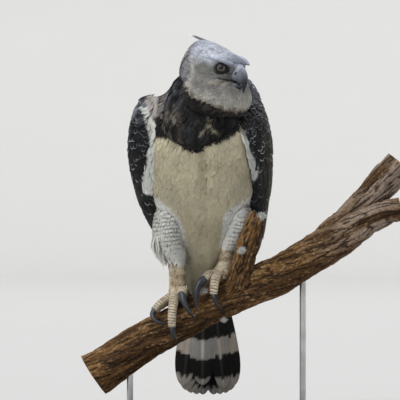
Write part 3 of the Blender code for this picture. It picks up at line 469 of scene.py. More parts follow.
def thigh_at(keys):
    """A thigh's surface: angle from the bird's left towards the front, and share of the way down."""
    table = along(keys, 60) / MM
    shared = np.column_stack([np.linspace(0, 1, 60), table])

    def at(place, out=0.0):
        x, y, z, wide, deep = outline(shared, place[..., 1])
        angle = place[..., 0]
        z = z + np.minimum(1 - place[..., 1], 0) * np.ptp(table[:, 2])
        x, y = x + (wide + out) * np.cos(angle), y - (deep + out) * np.sin(angle)
        return joined(x, y, z) * MM

    return at


def wing_at(keys, side):
    """A folded wing's outer face: share from its front edge to its back edge, and share of its drop."""

    def at(place, out=0.0):
        share, down = place[..., 0], np.clip(place[..., 1], 0, 1)
        height = keys[0][0] + (keys[-1][0] - keys[0][0]) * down
        found = spline(keys, height)
        start, end = np.radians(found[..., 3]), np.radians(found[..., 4])
        angle = start + (end - start) * share
        deep = np.where(np.cos(angle) > 0, found[..., 1], found[..., 2]) + out
        x = side * (found[..., 0] + out) * np.sin(angle) + TRUNK_X
        middle = spline(MIDDLE, height)[..., 0]
        return joined(x, middle - deep * np.cos(angle), height) * MM

    return at


def outward_of(at, place):
    """Directions square to a surface, and its two slopes: their cross product, turned to the outside."""
    step = (1e-3, 1e-3 if place[..., 1].max() < 7 else 0.5)
    first = np.zeros(place.shape[-1])
    second = first.copy()
    first[0], second[1] = step
    across = at(place + first) - at(place - first)
    down = at(place + second) - at(place - second)
    square = unit(np.cross(across, down))
    outside = at(place, 1.0) - at(place)
    return square * np.sign((square * outside).sum(-1, keepdims=True)), across / step[0] / 2, down / step[1] / 2


def steps_for(at, place, lie, length):
    """How far the parameters run along a feather: the least-squares answer to slopes times steps = lie * length."""
    square, across, down = outward_of(at, place)
    want = lie - square * (lie * square).sum(-1, keepdims=True)
    want = unit(want) * length[..., None]
    aa, ab, bb = (across * across).sum(-1), (across * down).sum(-1), (down * down).sum(-1)
    ra, rb = (across * want).sum(-1), (down * want).sum(-1)
    det = np.maximum(aa * bb - ab * ab, 1e-18)
    return joined((ra * bb - rb * ab) / det, (rb * aa - ra * ab) / det)


def rows_over(at, first, last, start, end, spacing, jitter):
    """Staggered rows of roots over a surface, from start to end of its second parameter.

    Rows lie a spacing apart along the surface, and so do the roots in a row. Spacing is (at start, at end) in mm.
    """
    ladder = np.linspace(start, end, 400)
    run = run_of(at(joined(np.full(400, (first + last) / 2), ladder)))
    found, reach = [], 0.0
    while reach < run[-1]:
        b = np.interp(reach, run, ladder)
        gap = spacing[0] + (spacing[1] - spacing[0]) * reach / run[-1]
        line = np.linspace(first, last, 200)
        girth = run_of(at(joined(line, np.full(200, b))))
        count = max(int(girth[-1] / gap), 2)
        slots = (np.arange(count) + (0.5 if len(found) % 2 else 0.0) + 0.25) / count
        slots = slots + chance.uniform(-jitter, jitter, count) / count
        a = np.interp(np.clip(slots, 0, 1) * girth[-1], girth, line)
        drop = (ladder[-1] - ladder[0]) / run[-1] * gap
        waver = 0.9 * np.sin(slots * girth[-1] / 31 + 0.7 * len(found)) * np.sin(slots * girth[-1] / 17 + 1.3)
        found.append(joined(a, b + (chance.uniform(-jitter, jitter, count) + waver) * drop))
        reach += gap
    return np.concatenate(found)


def follow(at, place, lie, length, u, out):
    """Feather paths over a surface, their outward directions and their shares u along.

    Out holds each row's height over the surface, in mm. On the head a place is a direction from its core.
    """
    on_head = place.shape[-1] == 3
    if on_head:
        start = unit(place)
        square = unit(at(place, 1.0) - at(place)) @ head_frame().T
        want = unit(lie - square * (lie * square).sum(-1, keepdims=True))
        step = want * (length / (head_reach(start) * MM))[:, None]
    else:
        start, step = place, steps_for(at, place, lie, length)
    where = start[:, None] + u[:, None] * step[:, None]
    path = at(where, np.broadcast_to(out, where.shape[:2]))
    return path, head_normal(where) if on_head else outward_of(at, where)[0], u


def only(paths, chosen):
    """Some of the feathers."""
    return paths[0][chosen], paths[1][chosen], paths[2]


def head_normal(place):
    """Directions square to the head: the cross product of its slopes along two tangents of the direction."""
    direction = unit(place)
    guide = np.where(abs(direction[..., 2:]) < 0.8, (0.0, 0.0, 1.0), (1.0, 0.0, 0.0))
    first = unit(np.cross(direction, guide))
    second = np.cross(direction, first)
    step = 0.01
    across = head_at(direction + first * step) - head_at(direction - first * step)
    down = head_at(direction + second * step) - head_at(direction - second * step)
    square = unit(np.cross(across, down))
    outside = direction @ head_frame()
    return square * np.sign((square * outside).sum(-1, keepdims=True))


def feather_form(u, root, widest, tip):
    """Half width along a feather: it swells from the root to the widest share, and rounds off as a half ellipse."""
    swell = root + (1 - root) * smooth(0, widest, u)
    fall = np.sqrt(np.clip(1 - (np.clip(u - widest, 0, 1) / (1 - widest)) ** 2, 0, 1))
    return np.minimum(swell, np.maximum(fall, tip))


def grow(at, place, lie, length, u, rise, stray, form, wide, broader=0.0):
    """Feathers from their roots down a surface: their paths, and their half widths.

    Lie is the two sideways parts of each one's way for one part of fall, and length is in mm. Rise pairs shares with
    heights over the surface. Stray is the range of each feather's own height, and wide the range of its half width.
    """
    count = len(place)
    out = np.interp(u, *rise) + chance.uniform(*stray, (count, 1))
    paths = follow(at, place, joined(*lie, -np.ones(count)), length * MM, u, out)
    return paths, form * (chance.uniform(*wide, (count, 1)) + broader)


def clear(at, place, column=NECK, grown=0.0, head=0.0):
    """The roots that lie outside the head and a column of flesh."""
    root = at(place)
    return place[~inside(column, root, grown) & ~inside_head(root, head)]


def across_vane(columns):
    """How far each point of a feather's ring lies across it, from -1 to 1: over its face and back behind it."""
    face = np.linspace(-1, 1, columns)
    return np.concatenate([face, face[-2:0:-1]])


def vanes(path, outward, half, camber=0.2, thick=0.3, columns=3, roll=0.0):
    """Feathers as thin closed shells, by the share s across them from -1 to 1.

    The upper face is the path plus side * half * s, less lift * camber * half * s^2. The under face lies a thickness
    lower in the middle and meets the upper one at the edges.
    """
    ahead = unit(np.gradient(path, axis=1))
    side = unit(np.cross(ahead, outward))
    lift = np.cross(side, ahead)
    roll = np.broadcast_to(roll, path.shape[:1])[:, None, None]
    side, lift = side * np.cos(roll) + lift * np.sin(roll), lift * np.cos(roll) - side * np.sin(roll)
    ring = across_vane(columns)
    under = np.where(np.arange(len(ring)) < columns, 0, 1 - ring**2) * thick * MM
    half = np.asarray(half)[..., None] * MM
    wide, sink = half * ring, -camber * half * ring**2 - under
    return path[:, :, None] + side[:, :, None] * wide[..., None] + lift[:, :, None] * sink[..., None], ring


def strip_faces(count, rows, ring):
    """Faces of closed strips: quads between one ring and the next, and a cap at each end, for every strip."""
    k = np.arange(ring)
    r = np.arange(rows - 1)[:, None] * ring
    following = (k + 1) % ring
    quads = joined(r + k, r + following, r + ring + following, r + ring + k).reshape(-1, 4)
    caps = np.stack([k[::-1], k + (rows - 1) * ring])
    shift = (np.arange(count) * rows * ring)[:, None, None]
    return [(quads + shift).reshape(-1, 4), (caps + shift).reshape(-1, ring)]


def placed(name, data):
    """A new object in the scene."""
    made = bpy.data.objects.new(name, data)
    bpy.context.scene.collection.objects.link(made)
    return made


def piece(name, points, faces, look, tint, vane=None, patch=None, sharp=None):
    """A mesh from arrays of points and faces, with its colours, feather places and texture map."""
    points = np.asarray(points, float).reshape(-1, 3)
    mesh = bpy.data.meshes.new(name)
    mesh.vertices.add(len(points))
    mesh.vertices.foreach_set("co", points.astype(np.float32).ravel())
    corners = np.concatenate([f.ravel() for f in faces]).astype(np.int32)
    sizes = np.concatenate([np.full(len(f), f.shape[1]) for f in faces])
    mesh.loops.add(len(corners))
    mesh.loops.foreach_set("vertex_index", corners)
    mesh.polygons.add(len(sizes))
    mesh.polygons.foreach_set("loop_start", np.concatenate([[0], np.cumsum(sizes)[:-1]]).astype(np.int32))
    mesh.update(calc_edges=True)
    colour = np.ones((len(points), 4), np.float32)
    colour[:, :3] = np.clip(np.asarray(tint, float).reshape(-1, 3), 0, 1)
    mesh.color_attributes.new("tint", "FLOAT_COLOR", "POINT").data.foreach_set("color", colour.ravel())
    if vane is not None:
        values = np.asarray(vane, np.float32).ravel()
        mesh.attributes.new("vane", "FLOAT_VECTOR", "POINT").data.foreach_set("vector", values)
    if patch is not None:
        spots = np.asarray(patch, np.float32).reshape(-1, 2)[corners]
        mesh.uv_layers.new(name="OFBake").data.foreach_set("uv", spots.ravel())
    mesh.shade_smooth()
    if sharp is not None:
        mesh.set_sharp_from_angle(angle=math.radians(sharp))
    made = placed(name, mesh)
    mesh.materials.append(look)
    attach(made, "root")
    return made


def coat(name, paths, half, tint, spots, look, slot, **form):
    """A piece of plumage. Paths hold points, outward directions and shares.

    Tint is a colour for each feather or for each of its points, or a function that gives colours to points. On the
    map each feather is a small patch at its root's place on the skin.
    """
    path, outward, u = paths
    points, ring = vanes(path, outward, half, **form)
    count, rows, around = points.shape[:3]
    tint = tint(points) if callable(tint) else np.asarray(tint, float)
    if tint.ndim == 2:
        # painted shade: a colour given per feather is darker towards its root, where the feathers over it shade it
        tint = tint[:, None, None] * (0.62 + 0.38 * smooth(0.0, 0.6, u))[:, None, None]
    vane = np.empty((count, rows, around, 3))
    vane[..., 0] = ring
    vane[..., 1] = u[:, None]
    vane[..., 2] = chance.uniform(0, 1, (count, 1, 1))
    patch = np.empty((count, rows, around, 2))
    patch[..., 0] = 0.002 + 0.993 * spots[:, None, None, 0] + 0.003 * (ring + 1) / 2
    patch[..., 1] = 0.002 + 0.993 * spots[:, None, None, 1] + 0.003 * u[:, None]
    faces = strip_faces(count, rows, around)
    tint = np.broadcast_to(tint, points.shape)
    return piece(name, points, faces, look, tint=tint, vane=vane, patch=patch, sharp=55)


def spots_of(place, first, last, start, end):
    """Roots' places on the unwrapped skin: both parameters run from 0 to 1."""
    across, down = (place[:, 0] - first) / (last - first), (place[:, 1] - start) / (end - start)
    return np.clip(joined(across, down), 0, 1)


# Finishes


def add(tree, kind, values=(), **settings):
    """Adds a node with its settings. Values pair a socket with a number, a colour or another node's output."""
    made = tree.nodes.new(kind)
    for key, value in settings.items():
        setattr(made, key, value)
    for socket, value in values:
        if isinstance(value, bpy.types.NodeSocket):
            tree.links.new(value, made.inputs[socket])
        else:
            made.inputs[socket].default_value = value
    return made


def finish(name, roughness, **constants):
    """A new finish and the tree it is built in. Constants are the shader's own settings."""
    made = bpy.data.materials.new(name)
    made.use_nodes = True
    shader = made.node_tree.nodes["Principled BSDF"]
    shader.inputs["Roughness"].default_value = roughness
    for key, value in constants.items():
        shader.inputs[key.replace("_", " ")].default_value = value
    return made, made.node_tree, shader


def math_node(tree, operation, *values):
    """One arithmetic step."""
    return add(tree, "ShaderNodeMath", list(enumerate(values)), operation=operation).outputs[0]


def times(tree, first, second):
    """A product."""
    return math_node(tree, "MULTIPLY", first, second)


def own_colour(tree):
    """The piece's own colours."""
    return add(tree, "ShaderNodeAttribute", attribute_name="tint").outputs["Color"]


def paint(tree, shader, colour):
    """Gives the shader its colour."""
    tree.links.new(colour, shader.inputs["Base Color"])


def ranged(tree, value, low, high, to_low, to_high):
    """Carries a value from one range smoothly to another."""
    pairs = [("Value", value), ("From Min", low), ("From Max", high), ("To Min", to_low), ("To Max", to_high)]
    return add(tree, "ShaderNodeMapRange", pairs, interpolation_type="SMOOTHSTEP").outputs["Result"]


def own_noise(tree, scale, detail=3.0, stretch=None):
    """Noise over the piece's own coordinates, stretched where asked."""
    place = add(tree, "ShaderNodeTexCoord").outputs["Object"]
    if stretch:
        place = add(tree, "ShaderNodeVectorMath", [(0, place), (1, stretch)], operation="MULTIPLY").outputs[0]
    pairs = [("Vector", place), ("Scale", scale), ("Detail", detail), ("Roughness", 0.6)]
    return add(tree, "ShaderNodeTexNoise", pairs).outputs["Fac"]


def shaded(tree, colour, *factors):
    """A colour made lighter and darker by factors."""
    for factor in factors:
        colour = add(tree, "ShaderNodeVectorMath", [(0, colour), ("Scale", factor)], operation="SCALE").outputs[0]
    return colour


def blended(tree, share, first, second):
    """A mix of two colours by a share."""
    made = add(tree, "ShaderNodeMix", [(0, share), (6, first), (7, second)], data_type="RGBA")
    return made.outputs[2]


def relief(tree, shader, height, strength, distance):
    """Fine relief from a height."""
    pairs = [("Height", height), ("Strength", strength), ("Distance", distance)]
    tree.links.new(add(tree, "ShaderNodeBump", pairs).outputs["Normal"], shader.inputs["Normal"])


def plumage(name, contrast, roughness=0.82, sheen=0.12, crescents=None, bars=1.0):
    """Feathers: their own colours, streaked along the barbs, which run out from the shaft towards the tip.

    Crescents are pale rims at the tips of some feathers, broken here and there.
    """
    made, tree, shader = finish(name, roughness, Sheen_Weight=sheen, Specular_IOR_Level=0.10)
    tint = own_colour(tree)
    vane = add(tree, "ShaderNodeAttribute", attribute_name="vane").outputs["Vector"]
    parts = add(tree, "ShaderNodeSeparateXYZ", [("Vector", vane)])
    across, lengthwise, own = parts.outputs
    side = math_node(tree, "ABSOLUTE", across)
    slant = math_node(tree, "MULTIPLY_ADD", side, -0.9, times(tree, lengthwise, 1.6))
    spread = times(tree, across, 4.5 * bars)
    seed = times(tree, own, 61.0)
    barb = add(tree, "ShaderNodeCombineXYZ", [(0, spread), (1, slant), (2, seed)]).outputs[0]
    fibre = add(tree, "ShaderNodeTexNoise", [("Vector", barb), ("Scale", 1.5), ("Detail", 3.0)]).outputs["Fac"]
    streak = ranged(tree, fibre, 0.3, 0.7, 1 - contrast, 1 + contrast * 0.5)
    mottle = ranged(tree, own_noise(tree, 34.0), 0.3, 0.7, 1 - contrast * 0.7, 1 + contrast * 0.3)
    colour = shaded(tree, tint, streak, mottle)
    if crescents:
        beyond = math_node(tree, "MAXIMUM", math_node(tree, "MULTIPLY_ADD", lengthwise, 2.4, -1.4), 0.0)
        away = math_node(tree, "POWER", math_node(tree, "ADD", times(tree, beyond, beyond),
                         times(tree, across, times(tree, across, 0.72))), 0.5)
        ragged = math_node(tree, "MULTIPLY_ADD", fibre, 0.10, away)
        rim = ranged(tree, ragged, 0.95, 1.0, 0.0, 1.0)
        some = ranged(tree, own, crescents, crescents + 0.25, 0.0, 0.8)
        patchy = ranged(tree, own_noise(tree, 17.0), 0.40, 0.60, 0.25, 1.0)
        rim = times(tree, times(tree, rim, some), patchy)
        colour = blended(tree, rim, colour, (0.56, 0.58, 0.62, 1))
    paint(tree, shader, colour)
    relief(tree, shader, fibre, 0.30, 0.0008)
    return made


def tinted(name, roughness, scale, contrast=0.15, bump=0.2, distance=0.0006, stretch=None, **constants):
    """A finish in the piece's own colours, clouded and roughened by noise."""
    made, tree, shader = finish(name, roughness, **constants)
    tint = own_colour(tree)
    grain = own_noise(tree, scale, 4.0, stretch)
    paint(tree, shader, shaded(tree, tint, ranged(tree, grain, 0.3, 0.7, 1 - contrast, 1 + contrast)))
    relief(tree, shader, grain, bump, distance)
    return made


def scales(name):
    """The feet's skin: its own colours with a net of small scales."""
    made, tree, shader = finish(name, 0.55, Specular_IOR_Level=0.35)
    tint = own_colour(tree)
    place = add(tree, "ShaderNodeTexCoord").outputs["Object"]
    pairs = [("Vector", place), ("Scale", 360.0)]
    net = add(tree, "ShaderNodeTexVoronoi", pairs, feature="DISTANCE_TO_EDGE").outputs["Distance"]
    edge = ranged(tree, net, 0.02, 0.22, 0.0, 1.0)
    shade = ranged(tree, net, 0.02, 0.18, 0.62, 1.05)
    mottle = ranged(tree, own_noise(tree, 60.0), 0.3, 0.7, 0.85, 1.12)
    paint(tree, shader, shaded(tree, tint, shade, mottle))
    relief(tree, shader, edge, 0.55, 0.0008)
    return made


def board_wood(name):
    """Dark stained wood: rings of a slow noise drawn out along the board."""
    made, tree, shader = finish(name, 0.42, Coat_Weight=0.25, Coat_Roughness=0.25)
    slow = own_noise(tree, 5.0, 3.0, (0.6, 9.0, 4.0))
    rings = math_node(tree, "SINE", times(tree, slow, 60.0))
    fine = own_noise(tree, 60.0, 4.0, (0.08, 2.2, 1.0))
    share = math_node(tree, "MULTIPLY_ADD", rings, 0.30, times(tree, fine, 0.9))
    light = ranged(tree, share, 0.1, 0.8, 0.0, 1.0)
    colour = blended(tree, light, (0.030, 0.017, 0.010, 1), (0.105, 0.055, 0.028, 1))
    paint(tree, shader, colour)
    relief(tree, shader, fine, 0.12, 0.0005)
    return made


def brushed_steel(name):
    """Steel with fine marks round the rod."""
    made, tree, shader = finish(name, 0.28, Metallic=1.0)
    marks = own_noise(tree, 300.0, 3.0, (1.0, 1.0, 6.0))
    cloud = own_noise(tree, 25.0)
    bright = ranged(tree, cloud, 0.3, 0.7, 0.0, 1.0)
    paint(tree, shader, blended(tree, bright, (0.46, 0.46, 0.47, 1), (0.60, 0.60, 0.61, 1)))
    tree.links.new(ranged(tree, marks, 0.3, 0.7, 0.22, 0.38), shader.inputs["Roughness"])
    return made


def plain(name, light, dark, roughness):
    """The studio's paper: one pale colour with the faintest clouding."""
    made, tree, shader = finish(name, roughness)
    paint(tree, shader, blended(tree, own_noise(tree, 2.0), dark, light))
    return made


# Markings, shared by the skin and the coat

CREAM = np.array((0.475, 0.432, 0.305))
WHITE = np.array((0.64, 0.64, 0.60))
SLATE = np.array((0.017, 0.0175, 0.019))
BLACK = np.array((0.009, 0.009, 0.009))
EARTH = np.array((0.27, 0.235, 0.205))
MANTLE = np.array((0.25, 0.232, 0.222))
COLLAR_EDGE = (
    (-112, 628), (-104, 620), (-72, 619), (-56, 607), (-44, 595), (-24, 591), (4, 600), (29, 608), (55, 623),
    (75, 636),
    (110, 648),
)
# Where the belly ends and the white thighs start, on each side: height and how far out
BELLY_EDGE = (
    (369, -39, 29), (399, -47, 38), (409, -50, 39.4), (434, -61, 41), (450, -76, 55), (477, -112, 100),
    (490, -150, 150),
)


def mix(first, second, share):
    """Colours between two, by a share."""
    first = np.asarray(first)
    return first + (np.asarray(second) - first) * np.asarray(share)[..., None]


def inside(keys, points, grown=0.0):
    """Which points lie inside level superellipses: the sum of both reaches to the power is under 1."""
    x, y, z = np.moveaxis(points / MM, -1, 0)
    middle, half, front, back = outline(keys, z)
    wide = abs((x - middle) / (half + grown)) ** SQUARED
    deep = abs((y - (front + back) / 2) / ((back - front) / 2 + grown)) ** SQUARED
    return (wide + deep < 1) & (z > min(keys)[0]) & (z < max(keys)[0])


def inside_head(points, grown=0.0):
    """Which points lie inside the head: nearer to its core than its surface is."""
    away = head_view(points) - np.array(HEAD_CORE)
    far = np.linalg.norm(away, axis=-1)
    return far < head_reach(unit(away)) + grown


# Strokes in the picture's plane: from point to point, half width and strength
COLLAR_GAP = (
    ((8, 634), (-12, 611), 3.6, 0.75), ((10, 632), (25, 615), 4.2, 0.8), ((6, 640), (10, 654), 2.2, 0.6),
    ((5, 622), (18, 620), 4.2, 0.55),
)
# Painted shade: dark strokes along the breast's cleft and folds, where shade falls
BREAST_FOLD_SHADE = (
    ((-20, 588), (-9, 563), 5, 0.5), ((6, 584), (-9, 563), 5, 0.6), ((-9, 560), (-8, 545), 6, 0.4),
    ((-4, 520), (3, 482), 4.5, 0.6), ((3, 480), (0, 440), 7, 0.3), ((-60, 470), (-24, 420), 9, 0.2),
)


def strokes(table, x, z):
    """How strongly strokes mark places: the greatest bell of the distance to each one."""
    total = 0 * x
    for (x0, z0), (x1, z1), wide, strong in table:
        t = np.clip(((x - x0) * (x1 - x0) + (z - z0) * (z1 - z0)) / ((x1 - x0) ** 2 + (z1 - z0) ** 2), 0, 1)
        total = np.maximum(total, strong * bell(np.hypot(x - x0 - t * (x1 - x0), z - z0 - t * (z1 - z0)), wide))
    return total


def trunk_marks(points):
    """The trunk's colours: cream in front, slate behind, the dark collar's skirt and a brown shoulder."""
    x, y, z = np.moveaxis(points / MM, -1, 0)
    middle, half, front, back = outline(TORSO, z)
    behind = (y - (front + back) / 2) / ((back - front) / 2)
    waver = 0.10 * noise(points, 0.02, 3)
    colour = mix(CREAM, CREAM * (0.93, 0.94, 0.97), smooth(-0.4, 0.6, noise(points, 0.035, 5)))
    # painted shade in the breast's folds and cleft
    colour = mix(colour, CREAM * (0.62, 0.60, 0.52), 0.7 * strokes(BREAST_FOLD_SHADE, x, z) * (behind < 0))
    # painted light: the upper breast is lighter, as more light falls on it from above; the noise is the feathers' own
    # uneven tone
    colour = colour * (1 + 0.14 * noise(points, 0.05, 16) + 0.10 * smooth(540, 600, z))[..., None]
    dark = mix(SLATE, SLATE * 2.2, smooth(-0.2, 0.9, noise(points, 0.018, 8)))
    colour = mix(colour, dark, smooth(0.22, 0.34, behind + waver) * smooth(400, 430, z + 20 * waver))
    edge = read_off(COLLAR_EDGE, x) + 12 * noise(points, 0.011, 12) + 7 * noise(points, 0.005, 13)
    skirt = smooth(-2, 3, z - edge) * smooth(0.55, 0.40, behind)
    colour = mix(colour, mix(BLACK * 1.3, EARTH * 0.45, smooth(0.0, 0.8, noise(points, 0.02, 15))), skirt)
    right, left = (np.interp(z, *np.array(BELLY_EDGE)[:, (0, i)].T) + 4 * noise(points, 0.008, 10) for i in (1, 2))
    legs = np.maximum(smooth(2, -2, x - right), smooth(-2, 2, x - left)) * smooth(360, 375, z) * (behind < 0.2)
    # the flanks take the left thigh's colours, with its painted light
    colour = mix(colour, thigh_marks(1)(points) * 0.93, legs * (z < 488))
    top = smooth(650, 664, z + 0.35 * (x + 105) + 8 * noise(points, 0.008, 11))
    shoulder = smooth(-80, -90, x + 9 * noise(points, 0.02, 4)) * top
    brown = mix(MANTLE * 1.5, MANTLE * 0.62, smooth(-0.3, 0.5, noise(points * (1, 1, 0.6), 0.007, 6)))
    return mix(colour, brown, shoulder * (behind < 0.6))


def middle_of(keys, z):
    """The depth of a column's middle at a height: halfway between its front and back outlines."""
    found = spline(keys, z)
    return (found[..., 2] + found[..., 3]) / 2


def ruff_marks(points):
    """The collar: black, browner low on the bird's right, painted sheen above, with a torn white gap at the throat.
    """
    x, y, z = np.moveaxis(points / MM, -1, 0)
    cloud = noise(points, 0.016, 21)
    colour = mix(BLACK, SLATE * 1.5, smooth(-0.1, 0.8, cloud))
    # painted sheen: blue-grey high on the bird's right side of the collar
    colour = mix(colour, (0.085, 0.092, 0.115), smooth(-30, -62, x) * smooth(655, 690, z) * smooth(-0.2, 0.5, cloud))
    colour = mix(colour, EARTH * 0.42, smooth(-42, -70, x) * smooth(690, 650, z) * smooth(-0.3, 0.5, cloud))
    gap = strokes(COLLAR_GAP, x, z)
    torn = smooth(0.30, 0.85, gap + 0.45 * noise(points, 0.004, 31) + 0.3 * noise(points, 0.0025, 32))
    return mix(colour, CREAM * 0.55, torn * (y < middle_of(NECK, z)))


def head_marks(points):
    """The head: blue-grey crown, mottled nape, grey cheeks, pale throat, dark lores and eye surrounds."""
    a, s, c = np.moveaxis(head_view(points), -1, 0)
    s = abs(s)
    crown, cheek = np.array((0.54, 0.572, 0.675)), np.array((0.185, 0.184, 0.178))
    throat, nape = np.array((0.39, 0.38, 0.345)), np.array((0.36, 0.36, 0.38))
    colour = mix(cheek, crown, smooth(34, 58, c + 0.15 * s + 6 * noise(points, 0.015, 22)))
    colour = mix(colour, throat, smooth(-4, -30, c + 0.10 * a + 5 * noise(points, 0.02, 9)))
    disc = a + 10 + 0.35 * abs(c - 10) + 4 * noise(points, 0.018, 7)
    colour = mix(colour, throat * 1.15, 0.8 * bell(disc - 3, 7) * smooth(-45, -20, c) * smooth(55, 35, c))
    colour = mix(colour, nape, smooth(-2, -12, disc) * smooth(-60, -20, c) * smooth(75, 50, c))
    lip = bell(c - mouth_height(a) + 8.5, 4.5) * smooth(30, 44, a)
    colour = mix(colour, throat * (1.15, 1.08, 0.95), 0.6 * lip * smooth(66, 58, a))
    colour = mix(colour, (0.12, 0.125, 0.135), lip * smooth(56, 64, a))
    colour = mix(colour, (0.33, 0.36, 0.45), smooth(38, 62, a) * smooth(28, 40, c))
    lore = bell(a - 60, 13) * bell(c - 20, 13) * smooth(8, 16, s)
    spots = smooth(-0.2, 0.4, noise(points, 0.0035, 14))
    colour = mix(colour, mix((0.20, 0.205, 0.21), (0.06, 0.062, 0.066), spots), 0.9 * lore)
    socket = bell(a - EYE_AT[0] - 4.5, 19) * bell(c - EYE_AT[2] + 1, 17) * smooth(18, 26, s)
    colour = mix(colour, (0.014, 0.014, 0.015), smooth(0.46, 0.62, socket))
    mottle = smooth(0.0, 0.5, noise(points * (1, 1, 1.3), 0.0055, 17)) * smooth(2, -14, disc)
    colour = mix(colour, nape * 0.34, 0.75 * mottle * smooth(-50, -10, c))
    fleck = smooth(0.35, 0.70, noise(points, 0.005, 18)) * smooth(20, 45, c) * 0.45
    colour = mix(colour, nape * 0.45, fleck)
    soft = 0.12 * noise(points, 0.008, 19) + 0.10 * noise(points, 0.024, 20)
    colour = colour * (1 + soft)[..., None]
    hem = c + HEM_AT + HEM_SLOPE * a + 6 * noise(points, 0.011, 23) + 4 * noise(points, 0.005, 24)
    colour = mix(colour, EARTH * (0.62, 0.60, 0.50), 0.85 * smooth(9, 0, hem))
    return mix(colour, mix(BLACK * 1.5, EARTH * 0.2, smooth(0, 0.8, noise(points, 0.009, 25))), smooth(1, -5, hem))


def thigh_marks(side):
    """White legs with fine wavy dark bars, strongest on the outer and upper side."""

    def marks(points):
        x, y, z = np.moveaxis(points / MM, -1, 0)
        wave = np.sin(math.tau * ((z + 0.12 * side * x) / THIGH_BARS + 0.30 * noise(points, 0.020, 41)))
        broken = smooth(-0.60, 0.0, noise(points, 0.014, 43)) * smooth(490, 466, z)
        outer = smooth(-30, 4, side * x - 66 + 0.10 * (z - 380)) * smooth(346, 372, z)
        bar = smooth(0.52, 0.82, wave) * broken * np.maximum(outer, 0.30 * smooth(360, 420, z))
        # painted light: the left thigh's white is brighter, as more light falls on that side
        white = WHITE * (1.15 if side > 0 else 1.0)
        colour = mix(white, white * (0.90, 0.92, 0.97), smooth(-0.2, 0.8, noise(points, 0.02, 45)))
        return mix(colour, (0.07, 0.07, 0.075), 0.8 * bar)

    return marks


def wing_marks(side, band, brown):
    """A wing's colours: slate, a white strip along its front edge as the band says, and brown outer rims."""

    def marks(place, points):
        share, down = place[..., 0], place[..., 1]
        x, y, z = np.moveaxis(points / MM, -1, 0)
        edge = side * x - read_off(band, z) + 3 * noise(points, 0.012, 51) + 2 * noise(points, 0.006, 53)
        cloud = noise(points, 0.02, 55)
        # painted shade: the right wing's slate is darker, as less light falls on that side
        slate = SLATE * (0.62 if side < 0 else 1.0)
        # painted sheen: bluish, lighter clouds over the wing's upper half
        colour = mix(slate, slate * (1.7, 1.8, 2.0), smooth(0.0, 0.9, cloud) * smooth(0.5, 0.1, down))
        colour = mix(colour, EARTH * (0.30, 0.31, 0.25), brown * smooth(0.05, 0.40, share) * smooth(0.12, 0.36, down))
        # painted highlight: pale blue-grey at the right wing's wrist
        wrist_highlight = bell(z - 668, 17) * smooth(118, 132, side * x) * smooth(0.5, 0.3, share) * (side < 0)
        colour = mix(colour, (0.30, 0.33, 0.39), 0.8 * wrist_highlight * smooth(-0.7, 0.2, cloud))
        # painted sheen: blue-grey over the top of the left wing
        top_sheen = brown * smooth(668, 722, z + 14 * cloud) * smooth(165, 120, x)
        colour = mix(colour, (0.11, 0.125, 0.165), 0.8 * top_sheen)
        colour = mix(WHITE * (0.80, 0.82, 0.83), colour, np.maximum(smooth(-2, 2, edge), smooth(0.55, 0.65, share)))
        if side > 0:
            return colour
        inner = side * x - np.interp(z, (632, 639, 662, 684), (90, 111, 120, 130))
        under = mix(BLACK * 1.5, MANTLE * 1.3, smooth(646, 658, z))
        lining = smooth(2, -2, inner + 3 * noise(points, 0.01, 57)) * smooth(630, 638, z)
        return mix(colour, under, lining * (share < 0.5))

    return marks


# The white strips: height, and how far out their outer edges lie
RIGHT_BAND = (
    (478, 60), (483, 133), (503, 135), (520, 136), (538, 131), (558, 126), (573, 127), (594, 121), (609, 121),
    (624, 125), (634, 130), (652, 131), (664, 138), (674, 143), (679, 60),
)
LEFT_BAND = (
    (509, 60), (513, 108), (517, 112), (525, 116.5), (543, 112.5), (571, 102.5), (594, 95), (611, 89), (622, 88),
    (628, 60),
)
# The wings: outline, side, strip, and how brown the rims are
WINGS = {"right": (WING_RIGHT, -1, RIGHT_BAND, 0.0), "left": (WING_LEFT, 1, LEFT_BAND, 0.8)}
# The left wing's front edge over the breast: height and how far out
FRONT_EDGE = ((482, 104), (517, 102.5), (559, 95), (594, 82), (627, 70), (659, 70), (705, 100))


# The skin: closed surfaces in one piece, inside the solids by the coat's depth


def closed(points):
    """A closed shell of rings, with each end drawn in to a point by one more ring."""
    first, last = points[:1], points[-1:]
    ends = [ring.mean(1, keepdims=True) + (ring - ring.mean(1, keepdims=True)) * 0.02 for ring in (first, last)]
    return np.concatenate([ends[0], points, ends[1]])


def shell(points, tint):
    """A closed shell and its colours, which run on over its end rings."""
    return closed(points), np.concatenate([tint[:1], tint, tint[-1:]])


def rolled(rows, columns):
    """Parameters of a surface that closes on itself across: the share of the way down, and the share round."""
    return np.linspace(0, 1, rows)[:, None] + np.zeros(columns), np.zeros((rows, 1)) + np.arange(columns) / columns


def skin_of(at, rows, columns, start, end, depth):
    """A closed surface a depth inside the coat, from start to start + end of its second parameter."""
    down, across = rolled(rows, columns)
    return closed(at(joined(across * math.tau, start + end * down), -depth))


def inside_out(points, quads):
    """Whether quads face inwards, by the sign of the volume that they close."""
    a, b, c, d = points[quads].transpose(1, 0, 2)
    return (np.cross(a, b) * c).sum() + (np.cross(a, c) * d).sum() < 0


